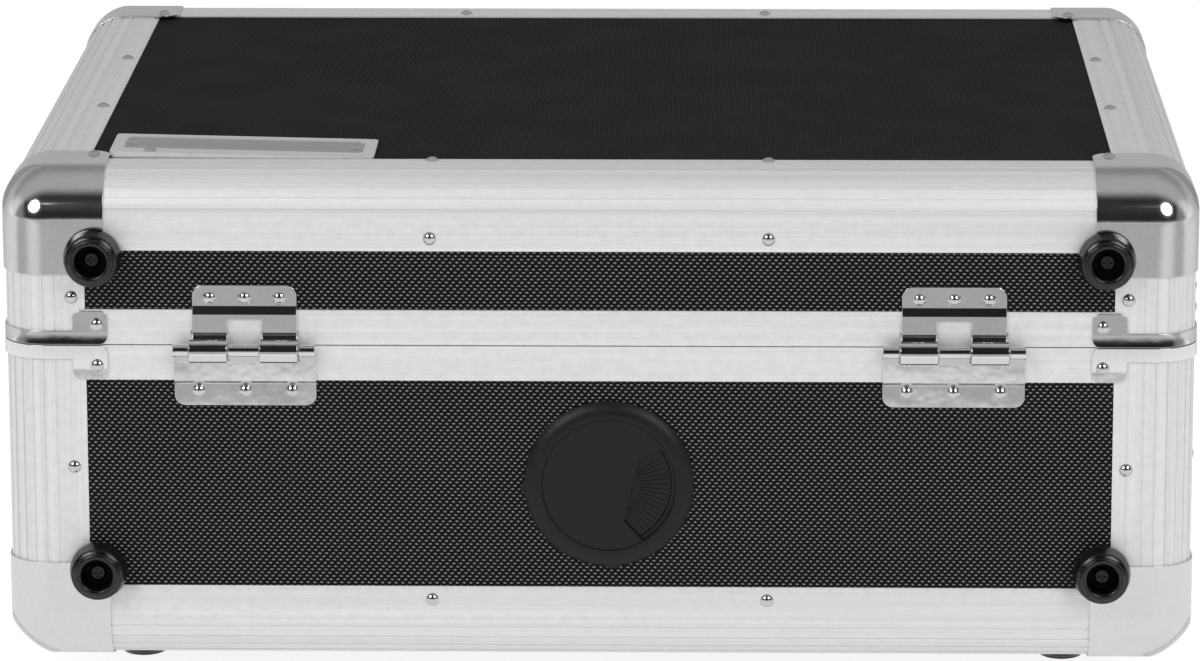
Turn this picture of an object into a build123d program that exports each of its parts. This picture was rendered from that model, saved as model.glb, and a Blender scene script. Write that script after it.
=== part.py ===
"""Hard case for a turntable: hinged lid, rolled edges, ball corners and a cable outlet.

Built in millimetres. +Z is up, the hinges and the cable outlet are on the rear (-Y), and the
latches and the handle are on the front (+Y). The origin is under the middle of the whole case,
on the plane that the four bottom feet stand on.
"""
import os
from math import cos, radians, sin, sqrt

from build123d import *

os.makedirs("parts", exist_ok=True)

# Driving sizes of the case
case_width = 505.0
case_depth = 405.0
base_height = 139.0
lid_height = 74.0
seam_gap = 0.4

# Board and sheet
board = 7.0
skin = 1.3
liner = 1.2
liner_leg = 22.0
board_clear = 0.2

# Rolled edge extrusion
roll_radius = 18.0
rail_face = 33.3
rail_top = 34.6
post_face = 35.0
rib_pitch = 5.0
rib_count = 7
rib_first = -18.4
rib_width = 0.7
rib_depth = 0.35
lip_width = 3.2
lip_drop = 0.6
rail_end = 35.2

# Closing profile round the opening
rim_height = 15.1
rim_web = 1.6
tongue_width = 1.6
tongue_rise = 2.2
tongue_in = 4.0
groove_clear = 0.9
groove_deep = 2.6

# Pressed corners and straps
cap_sheet = 0.9
cap_lift = 0.05
cap_leg = 44.5
cap_corner = 8.0
ball_radius = 35.5
ball_centre = 30.0
strap_sheet = 0.9
strap_height = 6.0
ear_width = 14.8
ear_height = 14.6
ear_corner = 3.5

# Fasteners
rivet_radius = 2.9
rivet_rise = 1.5
rail_rivet_share = 0.1414
side_rivet_share = 0.1395
rivet_in_face = 27.6
rivet_in_top = 29.5
post_rivet_in = 29.2
lid_post_rivet = 20.5
base_post_share = 0.384
strap_rivet_in = 39.9
strap_rivet_rise = 8.9
cap_rivet_in = 36.5

# Rubber feet
foot_radius = 12.2
foot_front = 10.2
foot_height = 11.0
foot_round = 2.4
foot_hole = 6.5
foot_lip = 8.6
foot_floor = 3.2
screw_head = 3.4
screw_rise = 2.0
rear_foot_in = 38.9
lid_foot_in = 35.8
base_foot_in = 40.6
bottom_foot_side = 53.0
bottom_foot_in = 49.5

# Hinges
hinge_in = 102.6
pin_out = 6.0
pin_drop = 1.1
pin_radius = 1.6
run_clear = 0.05
knuckle_radius = 5.6
knuckle_in = 7.0
knuckle_out = 22.9
barrel_radius = 2.75
barrel_gap = 0.5
hinge_sheet = 1.4
lid_leaf_half = 22.1
lid_leaf_top = 26.0
lid_leaf_step = 15.4
window_half = 7.4
window_top = 11.6
base_leaf_half = 30.05
base_leaf_low = 26.2
base_leaf_high = 6.6
step_run = 1.6
leaf_corner = 4.5
lid_hinge_rivets = ((-14.7, 20.5), (0.0, 20.5), (14.7, 20.5))
base_hinge_rivets = ((-19.8, -19.9), (0.0, -19.9), (19.8, -19.9))
keeper_rivet_rise = 17.0
latch_rivet_drops = (34.0, 45.0)
latch_rivet_in = 13.8
badge_rivets = ((8.4, 22.0), (104.4, 22.0), (17.0, 4.3))

# Cable outlet
outlet_x = 4.1
outlet_share = 0.4331
outlet_flange = 36.2
outlet_rise = 3.6
outlet_board_hole = 30.0
outlet_tube = 29.8
outlet_deep = 16.0
plate_radius = 28.45
plate_seat = 1.3
plate_sheet = 2.0
shutter_radius = 26.2
shutter_sheet = 1.5
spindle_radius = 3.0
cut_turn = -12.9
cut_chord = 9.9
cut_half = 14.2
cut_flare = 0.667
shutter_chord = -4.5
shutter_ribs = 16
shutter_rib_turn = 5.4
shutter_rib_at = 19.2
shutter_rib_length = 12.4
shutter_rib_width = 0.7
shutter_rib_depth = 0.4
flange_edge = 0.9
flange_dome = 9.0
nub_round = 5.8
nub_out = 31.4
nub_in = 33.0
nub_rise = 1.6
nub_turns = (-87.0, 183.0)

# Front latches
latch_in = 102.5
latch_plate_half = 17.0
latch_plate_low = 50.0
latch_plate_high = 4.0
latch_sheet = 1.5
lever_pin_out = 8.5
lever_pin_drop = 14.0
cheek_foot = 15.0
claw_pin_out = 5.2
claw_pin_drop = 26.0
cheek_in = 11.0
cheek_out = 12.6
lever_ear_in = 8.2
lever_ear_out = 10.6
claw_half = 7.0
stub_radius = 1.5
claw_pin_radius = 1.3
claw_sheet = 1.8
keeper_ledge = 7.4
keeper_reach = 4.0
keeper_half = 12.0
keeper_top = 23.0
lever_low = 46.0
tab_curl = 3.2
tab_bend = 12.0
tab_curve = 26.0
tab_back_curve = 28.0
slot_clear = 0.7
slot_low = 38.0

# Front handle
handle_share = 0.4317
handle_pin_out = 8.0
handle_pin_x = 62.0
handle_pin_radius = 2.5
bracket_radius = 7.4
bracket_half = 15.0
bracket_tall = 26.0
cheek_gap = 3.0
bracket_cheek = 2.4
bail_width = 5.4
bail_thick = 6.0
bail_eye = 5.0
bail_drop = 30.0
grip_half = 44.0
grip_tall = 20.0
grip_thick = 12.4

# Foam and badge plate
wall_foam = 12.8
floor_foam = 12.0
lid_foam = 8.0
badge_in = 43.1
badge_wide = 112.8
badge_near = 34.9
badge_deep = 38.0
badge_sheet = 1.4
badge_border = 5.2
badge_near_border = 8.6
badge_recess = 0.5

# Planes of the case, worked out from the sizes above
cap_reach = cap_lift + cap_sheet
rear_reach = cap_reach + foot_height
front_reach = handle_pin_out + bracket_radius
mid_y = (rear_reach - front_reach) / 2
rear_y = mid_y - case_depth / 2
front_y = mid_y + case_depth / 2
side_x = case_width / 2
bottom_z = foot_height - skin
seam_z = bottom_z + base_height
top_z = seam_z + lid_height
base_top = seam_z - seam_gap / 2
lid_low = seam_z + seam_gap / 2
inner = skin + board
rail_rivet_x = case_width * rail_rivet_share
side_rivet_y = case_depth * side_rivet_share
base_post_rivet = base_height * base_post_share
rear_foot_x = side_x - rear_foot_in
bottom_foot_x = side_x - bottom_foot_side
hinge_x = side_x - hinge_in
latch_x = side_x - latch_in
outlet_drop = base_height * outlet_share
handle_drop = base_height * handle_share
plate_left = -side_x + badge_in
plate_right = plate_left + badge_wide
middle = Plane.XZ.offset(-mid_y)
half_height = Plane.XY.offset((bottom_z + top_z) / 2)
seam_plane = Plane.XY.offset(seam_z)
low = (Align.MIN, Align.MIN, Align.MIN)


def save(builder, name):
    """Label a finished sub-part and write its file."""
    builder.part.label = name
    export_step(builder.part, f"parts/{name}.step")


def corner_plane(origin, along_u, along_v):
    """Sketch plane at an outer corner, its axes running along the two faces."""
    normal = Vector(*along_u).cross(Vector(*along_v))
    return Plane(origin=origin, x_dir=along_u, z_dir=normal)


def block(x0, x1, y0, y1, z0, z1, mode=Mode.ADD):
    """Box between three pairs of coordinates."""
    with Locations((x0, y0, z0)):
        Box(x1 - x0, y1 - y0, z1 - z0, align=low, mode=mode)


def rib_place(step):
    """Place and turn of one rib line, measured along the roll from its middle."""
    quarter = roll_radius * radians(45)
    if step < -quarter:
        return roll_radius - quarter - step, 0.0, 0.0
    turn = 225 - step / roll_radius * 180 / 3.14159265
    u = roll_radius + roll_radius * cos(radians(turn))
    v = roll_radius + roll_radius * sin(radians(turn))
    return u, v, turn + 90


def roll_section(leg_u, leg_v):
    """Rolled edge: ribbed skin with bevelled lips, an inner angle and two board stops."""
    inside = roll_radius - skin
    with BuildSketch() as section:
        with BuildLine():
            Line((leg_u, lip_drop), (leg_u - lip_width, 0))
            Line((leg_u - lip_width, 0), (roll_radius, 0))
            RadiusArc((roll_radius, 0), (0, roll_radius), roll_radius)
            Line((0, roll_radius), (0, leg_v - lip_width))
            Line((0, leg_v - lip_width), (lip_drop, leg_v))
            Line((lip_drop, leg_v), (skin, leg_v))
            Line((skin, leg_v), (skin, roll_radius))
            RadiusArc((skin, roll_radius), (roll_radius, skin), -inside)
            Line((roll_radius, skin), (leg_u, skin))
            Line((leg_u, skin), (leg_u, lip_drop))
        make_face()
        for index in range(rib_count):
            u, v, turn = rib_place(rib_first + rib_pitch * index)
            with Locations(Location((u, v, 0), (0, 0, turn))):
                Rectangle(rib_width, 2 * rib_depth, mode=Mode.SUBTRACT)
        with Locations((inner, inner)):
            Rectangle(liner_leg - inner, liner, align=(Align.MIN, Align.MIN))
            Rectangle(liner, liner_leg - inner, align=(Align.MIN, Align.MIN))
        with Locations((roll_radius - liner, skin / 2)):
            Rectangle(liner, inner, align=(Align.MIN, Align.MIN))
        with Locations((skin / 2, roll_radius - liner)):
            Rectangle(inner, liner, align=(Align.MIN, Align.MIN))
    return section.sketch


rail_section = roll_section(rail_top, rail_face)
post_section = roll_section(post_face, post_face)
x_rail = case_width - 2 * rail_end
y_rail = case_depth - 2 * rail_end
board_in = roll_radius + board_clear

# Base boards
with BuildPart() as base_floor_panel:
    block(-side_x + board_in, side_x - board_in, rear_y + board_in, front_y - board_in,
          bottom_z + skin, bottom_z + inner)
save(base_floor_panel, "base_floor_panel")

with BuildPart() as base_rear_panel:
    block(-side_x + board_in, side_x - board_in, rear_y + skin, rear_y + inner,
          bottom_z + board_in, base_top - rim_web)
    with Locations(Plane(origin=(outlet_x, rear_y, seam_z - outlet_drop), z_dir=(0, 1, 0))):
        Cylinder(outlet_board_hole, 3 * inner, mode=Mode.SUBTRACT)
save(base_rear_panel, "base_rear_panel")

with BuildPart() as base_front_panel:
    block(-side_x + board_in, side_x - board_in, front_y - inner, front_y - skin,
          bottom_z + board_in, base_top - rim_web)
save(base_front_panel, "base_front_panel")

with BuildPart() as base_left_panel:
    block(-side_x + skin, -side_x + inner, rear_y + board_in, front_y - board_in,
          bottom_z + board_in, base_top - rim_web)
save(base_left_panel, "base_left_panel")

with BuildPart() as base_right_panel:
    mirror(base_left_panel.part, about=Plane.YZ)
save(base_right_panel, "base_right_panel")

# Lid boards
with BuildPart() as lid_top_panel:
    block(-side_x + board_in, side_x - board_in, rear_y + board_in, front_y - board_in,
          top_z - inner, top_z - skin)
save(lid_top_panel, "lid_top_panel")

with BuildPart() as lid_rear_panel:
    block(-side_x + board_in, side_x - board_in, rear_y + skin, rear_y + inner,
          lid_low + groove_deep + rim_web, top_z - board_in)
save(lid_rear_panel, "lid_rear_panel")

with BuildPart() as lid_front_panel:
    mirror(lid_rear_panel.part, about=middle)
save(lid_front_panel, "lid_front_panel")

with BuildPart() as lid_left_panel:
    block(-side_x + skin, -side_x + inner, rear_y + board_in, front_y - board_in,
          lid_low + groove_deep + rim_web, top_z - board_in)
save(lid_left_panel, "lid_left_panel")

with BuildPart() as lid_right_panel:
    mirror(lid_left_panel.part, about=Plane.YZ)
save(lid_right_panel, "lid_right_panel")

# Rolled rails, each in its own node
with BuildPart() as base_rear_rail:
    with BuildSketch(corner_plane((-x_rail / 2, rear_y, bottom_z), (0, 1, 0), (0, 0, 1))):
        add(rail_section)
    extrude(amount=x_rail)
save(base_rear_rail, "base_rear_rail")

with BuildPart() as base_front_rail:
    mirror(base_rear_rail.part, about=middle)
save(base_front_rail, "base_front_rail")

with BuildPart() as base_left_rail:
    far_end = (-side_x, mid_y + y_rail / 2, bottom_z)
    with BuildSketch(corner_plane(far_end, (1, 0, 0), (0, 0, 1))):
        add(rail_section)
    extrude(amount=y_rail)
save(base_left_rail, "base_left_rail")

with BuildPart() as base_right_rail:
    mirror(base_left_rail.part, about=Plane.YZ)
save(base_right_rail, "base_right_rail")

with BuildPart() as lid_rear_rail:
    mirror(base_rear_rail.part, about=half_height)
save(lid_rear_rail, "lid_rear_rail")

with BuildPart() as lid_front_rail:
    mirror(lid_rear_rail.part, about=middle)
save(lid_front_rail, "lid_front_rail")

with BuildPart() as lid_left_rail:
    mirror(base_left_rail.part, about=half_height)
save(lid_left_rail, "lid_left_rail")

with BuildPart() as lid_right_rail:
    mirror(lid_left_rail.part, about=Plane.YZ)
save(lid_right_rail, "lid_right_rail")

# Corner posts between the ball corners and the seam
base_post = base_top - bottom_z - rail_end
lid_post = top_z - rail_end - lid_low

with BuildPart() as base_posts:
    with BuildSketch(corner_plane((-side_x, rear_y, bottom_z + rail_end), (1, 0, 0), (0, 1, 0))):
        add(post_section)
    extrude(amount=base_post)
    mirror(about=Plane.YZ)
    mirror(about=middle)
save(base_posts, "base_posts")

with BuildPart() as lid_posts:
    with BuildSketch(corner_plane((-side_x, rear_y, lid_low), (1, 0, 0), (0, 1, 0))):
        add(post_section)
    extrude(amount=lid_post)
    mirror(about=Plane.YZ)
    mirror(about=middle)
save(lid_posts, "lid_posts")


def base_rim_section():
    """Closing profile over the board edge, with the tongue that enters the lid."""
    with BuildSketch() as section:
        Rectangle(skin, rim_height, align=(Align.MIN, Align.MAX))
        Rectangle(inner + liner, rim_web, align=(Align.MIN, Align.MAX))
        with Locations((inner, 0)):
            Rectangle(liner, rim_height, align=(Align.MIN, Align.MAX))
        with Locations((tongue_in, 0)):
            Rectangle(tongue_width, tongue_rise, align=(Align.MIN, Align.MIN))
    return section.sketch


def lid_rim_section():
    """Closing profile under the lid's board edge, with the groove for the tongue."""
    with BuildSketch() as section:
        Rectangle(skin, rim_height, align=(Align.MIN, Align.MIN))
        Rectangle(inner + liner, groove_deep + rim_web, align=(Align.MIN, Align.MIN))
        with Locations((inner, 0)):
            Rectangle(liner, rim_height, align=(Align.MIN, Align.MIN))
        with Locations((tongue_in - groove_clear, 0)):
            Rectangle(tongue_width + 2 * groove_clear, groove_deep,
                      align=(Align.MIN, Align.MIN), mode=Mode.SUBTRACT)
    return section.sketch


x_rim = case_width - 2 * post_face
y_rim = case_depth - 2 * post_face


def rim_start(level, rear):
    """Section plane at the start of a rear or a left closing profile."""
    if rear:
        return corner_plane((-x_rim / 2, rear_y, level), (0, 1, 0), (0, 0, 1))
    return corner_plane((-side_x, mid_y + y_rim / 2, level), (1, 0, 0), (0, 0, 1))


with BuildPart() as base_rim_profiles:
    with BuildSketch(rim_start(base_top, True)):
        add(base_rim_section())
    extrude(amount=x_rim)
    with BuildSketch(rim_start(base_top, False)):
        add(base_rim_section())
    extrude(amount=y_rim)
    mirror(about=Plane.YZ)
    mirror(about=middle)
save(base_rim_profiles, "base_rim_profiles")

with BuildPart() as lid_rim_profiles:
    with BuildSketch(rim_start(lid_low, True)):
        add(lid_rim_section())
    extrude(amount=x_rim)
    with BuildSketch(rim_start(lid_low, False)):
        add(lid_rim_section())
    extrude(amount=y_rim)
    mirror(about=Plane.YZ)
    mirror(about=middle)
save(lid_rim_profiles, "lid_rim_profiles")

# Ball corners: a pressed three-way shell with a fuller ball at its point
cap_point = (-side_x - cap_reach, rear_y - cap_reach, bottom_z - cap_reach)
ball_place = tuple(value + ball_centre for value in cap_point)

with BuildPart() as ball_waste:
    with Locations(cap_point):
        Box(ball_centre, ball_centre, ball_centre, align=low)
    with Locations(ball_place):
        Sphere(ball_radius, mode=Mode.SUBTRACT)

with BuildPart() as base_ball_corners:
    with Locations(cap_point):
        Box(cap_leg, cap_leg, cap_leg, align=low)
    point = Vector(*cap_point)
    meeting = [e for e in edges() if min((v.center() - point).length for v in e.vertices()) < 0.01]
    fillet(meeting, roll_radius + cap_reach)
    add(ball_waste.part, mode=Mode.SUBTRACT)
    far = [faces().sort_by(axis)[-1] for axis in (Axis.X, Axis.Y, Axis.Z)]
    offset(amount=-cap_sheet, openings=far)
    tips = [e for e in edges() if abs(e.length - cap_sheet) < 0.02]
    fillet(tips, cap_corner)
    mirror(about=Plane.YZ)
    mirror(about=middle)
save(base_ball_corners, "base_ball_corners")

with BuildPart() as lid_ball_corners:
    mirror(base_ball_corners.part, about=half_height)
save(lid_ball_corners, "lid_ball_corners")


def strap_outline(grow):
    """Plan outline of a post's outer faces, grown outwards."""
    with Locations((-side_x - grow, rear_y - grow)):
        Rectangle(ear_far + grow, ear_far + grow, align=(Align.MIN, Align.MIN))
    nearest = Vector(-side_x - grow, rear_y - grow, 0)
    corner = [v for v in vertices() if (v.center() - nearest).length < 0.01]
    fillet(corner, roll_radius + grow)


ear_far = cap_leg
strap_far = cap_leg - ear_width

with BuildPart() as strap_form:
    with BuildSketch():
        strap_outline(cap_lift + strap_sheet)
    extrude(amount=ear_height)

with BuildPart() as strap_core:
    with BuildSketch():
        strap_outline(cap_lift)
    extrude(amount=ear_height)

with BuildPart() as lid_corner_straps:
    with Locations((0, 0, lid_low)):
        add(strap_form.part)
        add(strap_core.part, mode=Mode.SUBTRACT)
    reach = strap_far + cap_lift + strap_sheet
    with Locations((-side_x - cap_reach, rear_y - cap_reach, lid_low + strap_height)):
        Box(reach, reach, ear_height, align=low, mode=Mode.SUBTRACT)
    ends = [e for e in edges() if abs(e.length - strap_sheet) < 0.02]
    outer_ends = [e for e in ends if e.center().Z > lid_low + strap_height + 1
                  or abs(e.center().X + side_x - ear_far) < 0.5
                  or abs(e.center().Y - rear_y - ear_far) < 0.5]
    fillet(outer_ends, ear_corner)
    mirror(about=Plane.YZ)
    mirror(about=middle)
save(lid_corner_straps, "lid_corner_straps")

with BuildPart() as base_corner_straps:
    mirror(lid_corner_straps.part, about=seam_plane)
save(base_corner_straps, "base_corner_straps")


def place(point, outward):
    """Location whose local Z points outward from a face."""
    return Plane(origin=point, z_dir=outward).location


def four_ways(x, y_out, z):
    """A point on the rear and on the front face, on both sides."""
    rear = [place((side * x, rear_y - y_out, z), (0, -1, 0)) for side in (-1, 1)]
    front = [place((side * x, front_y + y_out, z), (0, 1, 0)) for side in (-1, 1)]
    return rear + front


def two_sides(x_out, y, z):
    """A point on the left and on the right face, before and behind the middle."""
    spots = []
    for side in (-1, 1):
        for end in (-1, 1):
            spots.append(place((side * (side_x + x_out), mid_y + end * y, z), (side, 0, 0)))
    return spots


def flat_four(x, y, z, up):
    """A point on a level face, in its four quarters."""
    spots = []
    for side in (-1, 1):
        for end in (-1, 1):
            spots.append(place((side * x, mid_y + end * y, z), (0, 0, up)))
    return spots


# Rivets: one domed head, repeated where two parts are held together
with BuildPart() as rivet_head:
    with BuildSketch(Plane.XZ) as rivet_half:
        with BuildLine():
            Line((0, 0), (rivet_radius, 0))
            dome = (rivet_radius ** 2 + rivet_rise ** 2) / (2 * rivet_rise)
            RadiusArc((rivet_radius, 0), (0, rivet_rise), -dome)
            Line((0, rivet_rise), (0, 0))
        make_face()
    revolve(axis=Axis.Z)

side_depth = case_depth / 2
edge_rivet_x = side_x - rivet_in_top
edge_rivet_y = side_depth - rivet_in_top
post_rivet_x = side_x - post_rivet_in
post_rivet_y = side_depth - post_rivet_in
strap_rivet_x = side_x - strap_rivet_in
strap_rivet_y = side_depth - strap_rivet_in
cap_rivet_x = side_x - cap_rivet_in
cap_rivet_y = side_depth - cap_rivet_in
on_strap = cap_lift + strap_sheet


def half_rivets(direction):
    """Rivet places of one half: +1 gives the lid's, -1 the base's."""
    flat = top_z if direction > 0 else bottom_z
    rail = flat - direction * rivet_in_face
    post = seam_z + (lid_post_rivet if direction > 0 else -base_post_rivet)
    strap = seam_z + direction * strap_rivet_rise
    cap = flat - direction * cap_rivet_in
    spots = four_ways(rail_rivet_x, 0, rail) + two_sides(0, side_rivet_y, rail)
    spots += four_ways(post_rivet_x, 0, post) + two_sides(0, post_rivet_y, post)
    spots += four_ways(strap_rivet_x, on_strap, strap) + two_sides(on_strap, strap_rivet_y, strap)
    spots += flat_four(rail_rivet_x, edge_rivet_y, flat, direction)
    spots += flat_four(edge_rivet_x, side_rivet_y, flat, direction)
    spots += flat_four(cap_rivet_x, cap_rivet_y, flat + direction * cap_reach, direction)
    spots += two_sides(cap_reach, cap_rivet_y, cap)
    spots += four_ways(cap_rivet_x, cap_reach, cap)[2:]
    return spots


# Rubber feet: a tapered cup with a rounded mouth, and the screw in its floor
mouth_run = foot_front + 1.0 - foot_lip
mouth_round = (mouth_run ** 2 + foot_round ** 2) / (2 * foot_round)

with BuildPart() as foot_form:
    with BuildSketch(Plane.XZ):
        with BuildLine():
            Line((0, 0), (foot_radius, 0))
            Line((foot_radius, 0), (foot_radius, foot_floor))
            Line((foot_radius, foot_floor), (foot_front + 1.0, foot_height - foot_round))
            RadiusArc((foot_front + 1.0, foot_height - foot_round), (foot_lip, foot_height),
                      -mouth_round)
            Line((foot_lip, foot_height), (foot_hole + 0.8, foot_height))
            Line((foot_hole + 0.8, foot_height), (foot_hole, foot_height - 1.6))
            Line((foot_hole, foot_height - 1.6), (foot_hole - 0.6, foot_floor))
            Line((foot_hole - 0.6, foot_floor), (0, foot_floor))
            Line((0, foot_floor), (0, 0))
        make_face()
    revolve(axis=Axis.Z)

with BuildPart() as foot_screw_form:
    with Locations((0, 0, foot_floor)):
        Cylinder(screw_head, screw_rise, align=(Align.CENTER, Align.CENTER, Align.MIN))
    chamfer(faces().sort_by(Axis.Z)[-1].edges(), 0.7)
    with Locations((0, 0, foot_floor + screw_rise)):
        Box(4.2, 0.9, 1.6, mode=Mode.SUBTRACT)
        Box(0.9, 4.2, 1.6, mode=Mode.SUBTRACT)

lid_foot_spots = four_ways(rear_foot_x, cap_reach, top_z - lid_foot_in)[:2]
base_foot_spots = four_ways(rear_foot_x, cap_reach, bottom_z + base_foot_in)[:2]
bottom_foot_spots = flat_four(bottom_foot_x, side_depth - bottom_foot_in, bottom_z + skin, -1)

with BuildPart() as base_bottom_feet:
    with Locations(bottom_foot_spots):
        add(foot_form.part)
save(base_bottom_feet, "base_bottom_feet")

with BuildPart() as base_rear_feet:
    with Locations(base_foot_spots):
        add(foot_form.part)
save(base_rear_feet, "base_rear_feet")

with BuildPart() as lid_rear_feet:
    with Locations(lid_foot_spots):
        add(foot_form.part)
save(lid_rear_feet, "lid_rear_feet")

with BuildPart() as base_foot_screws:
    with Locations(bottom_foot_spots + base_foot_spots):
        add(foot_screw_form.part)
save(base_foot_screws, "base_foot_screws")

with BuildPart() as lid_foot_screws:
    with Locations(lid_foot_spots):
        add(foot_screw_form.part)
save(lid_foot_screws, "lid_foot_screws")

# Lift-off hinges: hooked knuckles on the lid's leaf hang over a rod in the base's leaf
pin_y = rear_y - pin_out
pin_z = seam_z - pin_drop


def hinge_plane(x):
    """Section plane of a hinge: local X outward from the rear face, local Y up."""
    return Plane(origin=(x, rear_y, seam_z), x_dir=(0, -1, 0), z_dir=(-1, 0, 0))


def base_leaf_section():
    """Flat of the base leaf: over the closing profile, then stepped in to the board."""
    step_top = -rim_height - 0.2
    with BuildSketch() as section:
        with BuildLine():
            Polyline((0, -base_leaf_high), (0, step_top), (-skin, step_top - step_run),
                     (-skin, -base_leaf_low), (hinge_sheet - skin, -base_leaf_low),
                     (hinge_sheet - skin, step_top - step_run), (hinge_sheet, step_top),
                     (hinge_sheet, -base_leaf_high), close=True)
        make_face()
    return section.sketch


def barrel_section():
    """Rolled barrel on the rod, and the finger that carries it from the leaf."""
    with BuildSketch() as section:
        with BuildLine():
            Polyline((0, -base_leaf_high - 0.6), (0, -base_leaf_high + 0.8),
                     (pin_out - 2.4, -pin_drop - 0.8), (pin_out, -pin_drop),
                     (pin_out + 1.9, -pin_drop - 1.9), (hinge_sheet, -base_leaf_high - 0.6),
                     close=True)
        make_face()
        with Locations((pin_out, -pin_drop)):
            Circle(barrel_radius)
            Circle(pin_radius + 0.02, mode=Mode.SUBTRACT)
    return section.sketch


def lid_leaf_section():
    """Flat of the lid leaf: on the board above, stepped out over the closing profile."""
    step_low = lid_leaf_step
    with BuildSketch() as section:
        with BuildLine():
            Polyline((0, 5.0), (0, step_low), (-skin, step_low + step_run),
                     (-skin, lid_leaf_top), (hinge_sheet - skin, lid_leaf_top),
                     (hinge_sheet - skin, step_low + step_run - 0.6),
                     (hinge_sheet, step_low - 0.6), (hinge_sheet, 5.0), close=True)
        make_face()
    return section.sketch


def knuckle_section():
    """Hooked knuckle: open below, so the lid lifts off the rod when it is shut."""
    slot = pin_radius + run_clear
    with BuildSketch() as section:
        with BuildLine():
            Polyline((0, 6.5), (0, 0.4), (0.6, -pin_drop), (pin_out, -pin_drop),
                     (pin_out, -pin_drop + knuckle_radius), (hinge_sheet, 6.5), close=True)
        make_face()
        with Locations((pin_out, -pin_drop)):
            Circle(knuckle_radius)
            Circle(slot, mode=Mode.SUBTRACT)
        with Locations((pin_out, -pin_drop)):
            Rectangle(2 * slot, 2 * knuckle_radius, align=(Align.CENTER, Align.MAX),
                      mode=Mode.SUBTRACT)
    return section.sketch


def rear_rivets(centre, spots):
    """Places of the rivets that hold a hinge leaf to the recessed board."""
    out = hinge_sheet - skin
    return [place((centre + x, rear_y - out, seam_z + z), (0, -1, 0)) for x, z in spots]


with BuildPart() as left_hinge_base_leaf:
    with BuildSketch(hinge_plane(-hinge_x + base_leaf_half)):
        add(base_leaf_section())
    extrude(amount=2 * base_leaf_half)
    corners = [e for e in edges().filter_by(Axis.Y) if e.center().Z < seam_z - base_leaf_low + 1]
    fillet(corners, leaf_corner)
    for start, end in ((-base_leaf_half, -knuckle_out - barrel_gap),
                       (-knuckle_in + barrel_gap, knuckle_in - barrel_gap),
                       (knuckle_out + barrel_gap, base_leaf_half)):
        with BuildSketch(hinge_plane(-hinge_x + end)):
            add(barrel_section())
        extrude(amount=end - start)
save(left_hinge_base_leaf, "left_hinge_base_leaf")

with BuildPart() as left_hinge_lid_leaf:
    with BuildSketch(hinge_plane(-hinge_x + lid_leaf_half)):
        add(lid_leaf_section())
    extrude(amount=2 * lid_leaf_half)
    corners = [e for e in edges().filter_by(Axis.Y) if e.center().Z > seam_z + lid_leaf_top - 1]
    fillet(corners, leaf_corner)
    block(-hinge_x - window_half, -hinge_x + window_half, rear_y - 4, rear_y + 4,
          seam_z, seam_z + window_top, mode=Mode.SUBTRACT)
    for start, end in ((-knuckle_out, -knuckle_in), (knuckle_in, knuckle_out)):
        with BuildSketch(hinge_plane(-hinge_x + end)):
            add(knuckle_section())
        extrude(amount=end - start)
save(left_hinge_lid_leaf, "left_hinge_lid_leaf")

with BuildPart() as hinge_pins:
    with Locations(Location((-hinge_x, pin_y, pin_z), (0, 90, 0))):
        Cylinder(pin_radius, 2 * base_leaf_half)
    chamfer(edges().filter_by(GeomType.CIRCLE), 0.3)
    mirror(about=Plane.YZ)
save(hinge_pins, "hinge_pins")

with BuildPart() as right_hinge_base_leaf:
    mirror(left_hinge_base_leaf.part, about=Plane.YZ)
save(right_hinge_base_leaf, "right_hinge_base_leaf")

with BuildPart() as right_hinge_lid_leaf:
    mirror(left_hinge_lid_leaf.part, about=Plane.YZ)
save(right_hinge_lid_leaf, "right_hinge_lid_leaf")

# Cable outlet: ring in the rear board, cut cover plate, and the turning shutter behind it
outlet_plane = Plane(origin=(outlet_x, rear_y + skin, seam_z - outlet_drop),
                     x_dir=(1, 0, 0), z_dir=(0, -1, 0))
shutter_top = plate_seat - 0.2
shutter_low = shutter_top - shutter_sheet


def outlet_half():
    """Half section of the ring: domed flange, plate seat, shutter seat and tube."""
    tube_in = outlet_tube - 2.2
    shutter_wall = shutter_radius + 0.4
    with BuildSketch(Plane.XZ) as section:
        with BuildLine():
            Line((outlet_tube, 0), (outlet_flange, 0))
            Line((outlet_flange, 0), (outlet_flange, flange_edge))
            RadiusArc((outlet_flange, flange_edge), (plate_radius + 0.15, outlet_rise),
                      -flange_dome)
            Line((plate_radius + 0.15, outlet_rise), (plate_radius + 0.15, plate_seat))
            Line((plate_radius + 0.15, plate_seat), (shutter_wall, plate_seat))
            Line((shutter_wall, plate_seat), (shutter_wall, shutter_low - 0.2))
            Line((shutter_wall, shutter_low - 0.2), (shutter_wall - 2.0, shutter_low - 0.2))
            Line((shutter_wall - 2.0, shutter_low - 0.2), (shutter_wall - 2.0, shutter_low - 1.8))
            Line((shutter_wall - 2.0, shutter_low - 1.8), (tube_in, shutter_low - 3.6))
            Line((tube_in, shutter_low - 3.6), (tube_in, -outlet_deep))
            Line((tube_in, -outlet_deep), (outlet_tube, -outlet_deep))
            Line((outlet_tube, -outlet_deep), (outlet_tube, 0))
        make_face()
    return section.sketch


def turned(u, v):
    """Point of the outlet's cut-out, turned to where the photograph has it."""
    angle = radians(cut_turn)
    return u * cos(angle) - v * sin(angle), u * sin(angle) + v * cos(angle)


with BuildPart() as outlet_blank:
    add(revolve(outlet_half(), axis=Axis.Z, mode=Mode.PRIVATE))

with BuildPart() as cable_outlet_ring:
    with Locations(outlet_plane.location):
        add(outlet_blank.part)
    with BuildSketch(outlet_plane):
        for turn in nub_turns:
            with Locations((nub_out * cos(radians(turn)), nub_out * sin(radians(turn)))):
                Circle(nub_round)
        Circle(nub_in, mode=Mode.SUBTRACT)
    extrude(amount=nub_rise)
save(cable_outlet_ring, "cable_outlet_ring")

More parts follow.
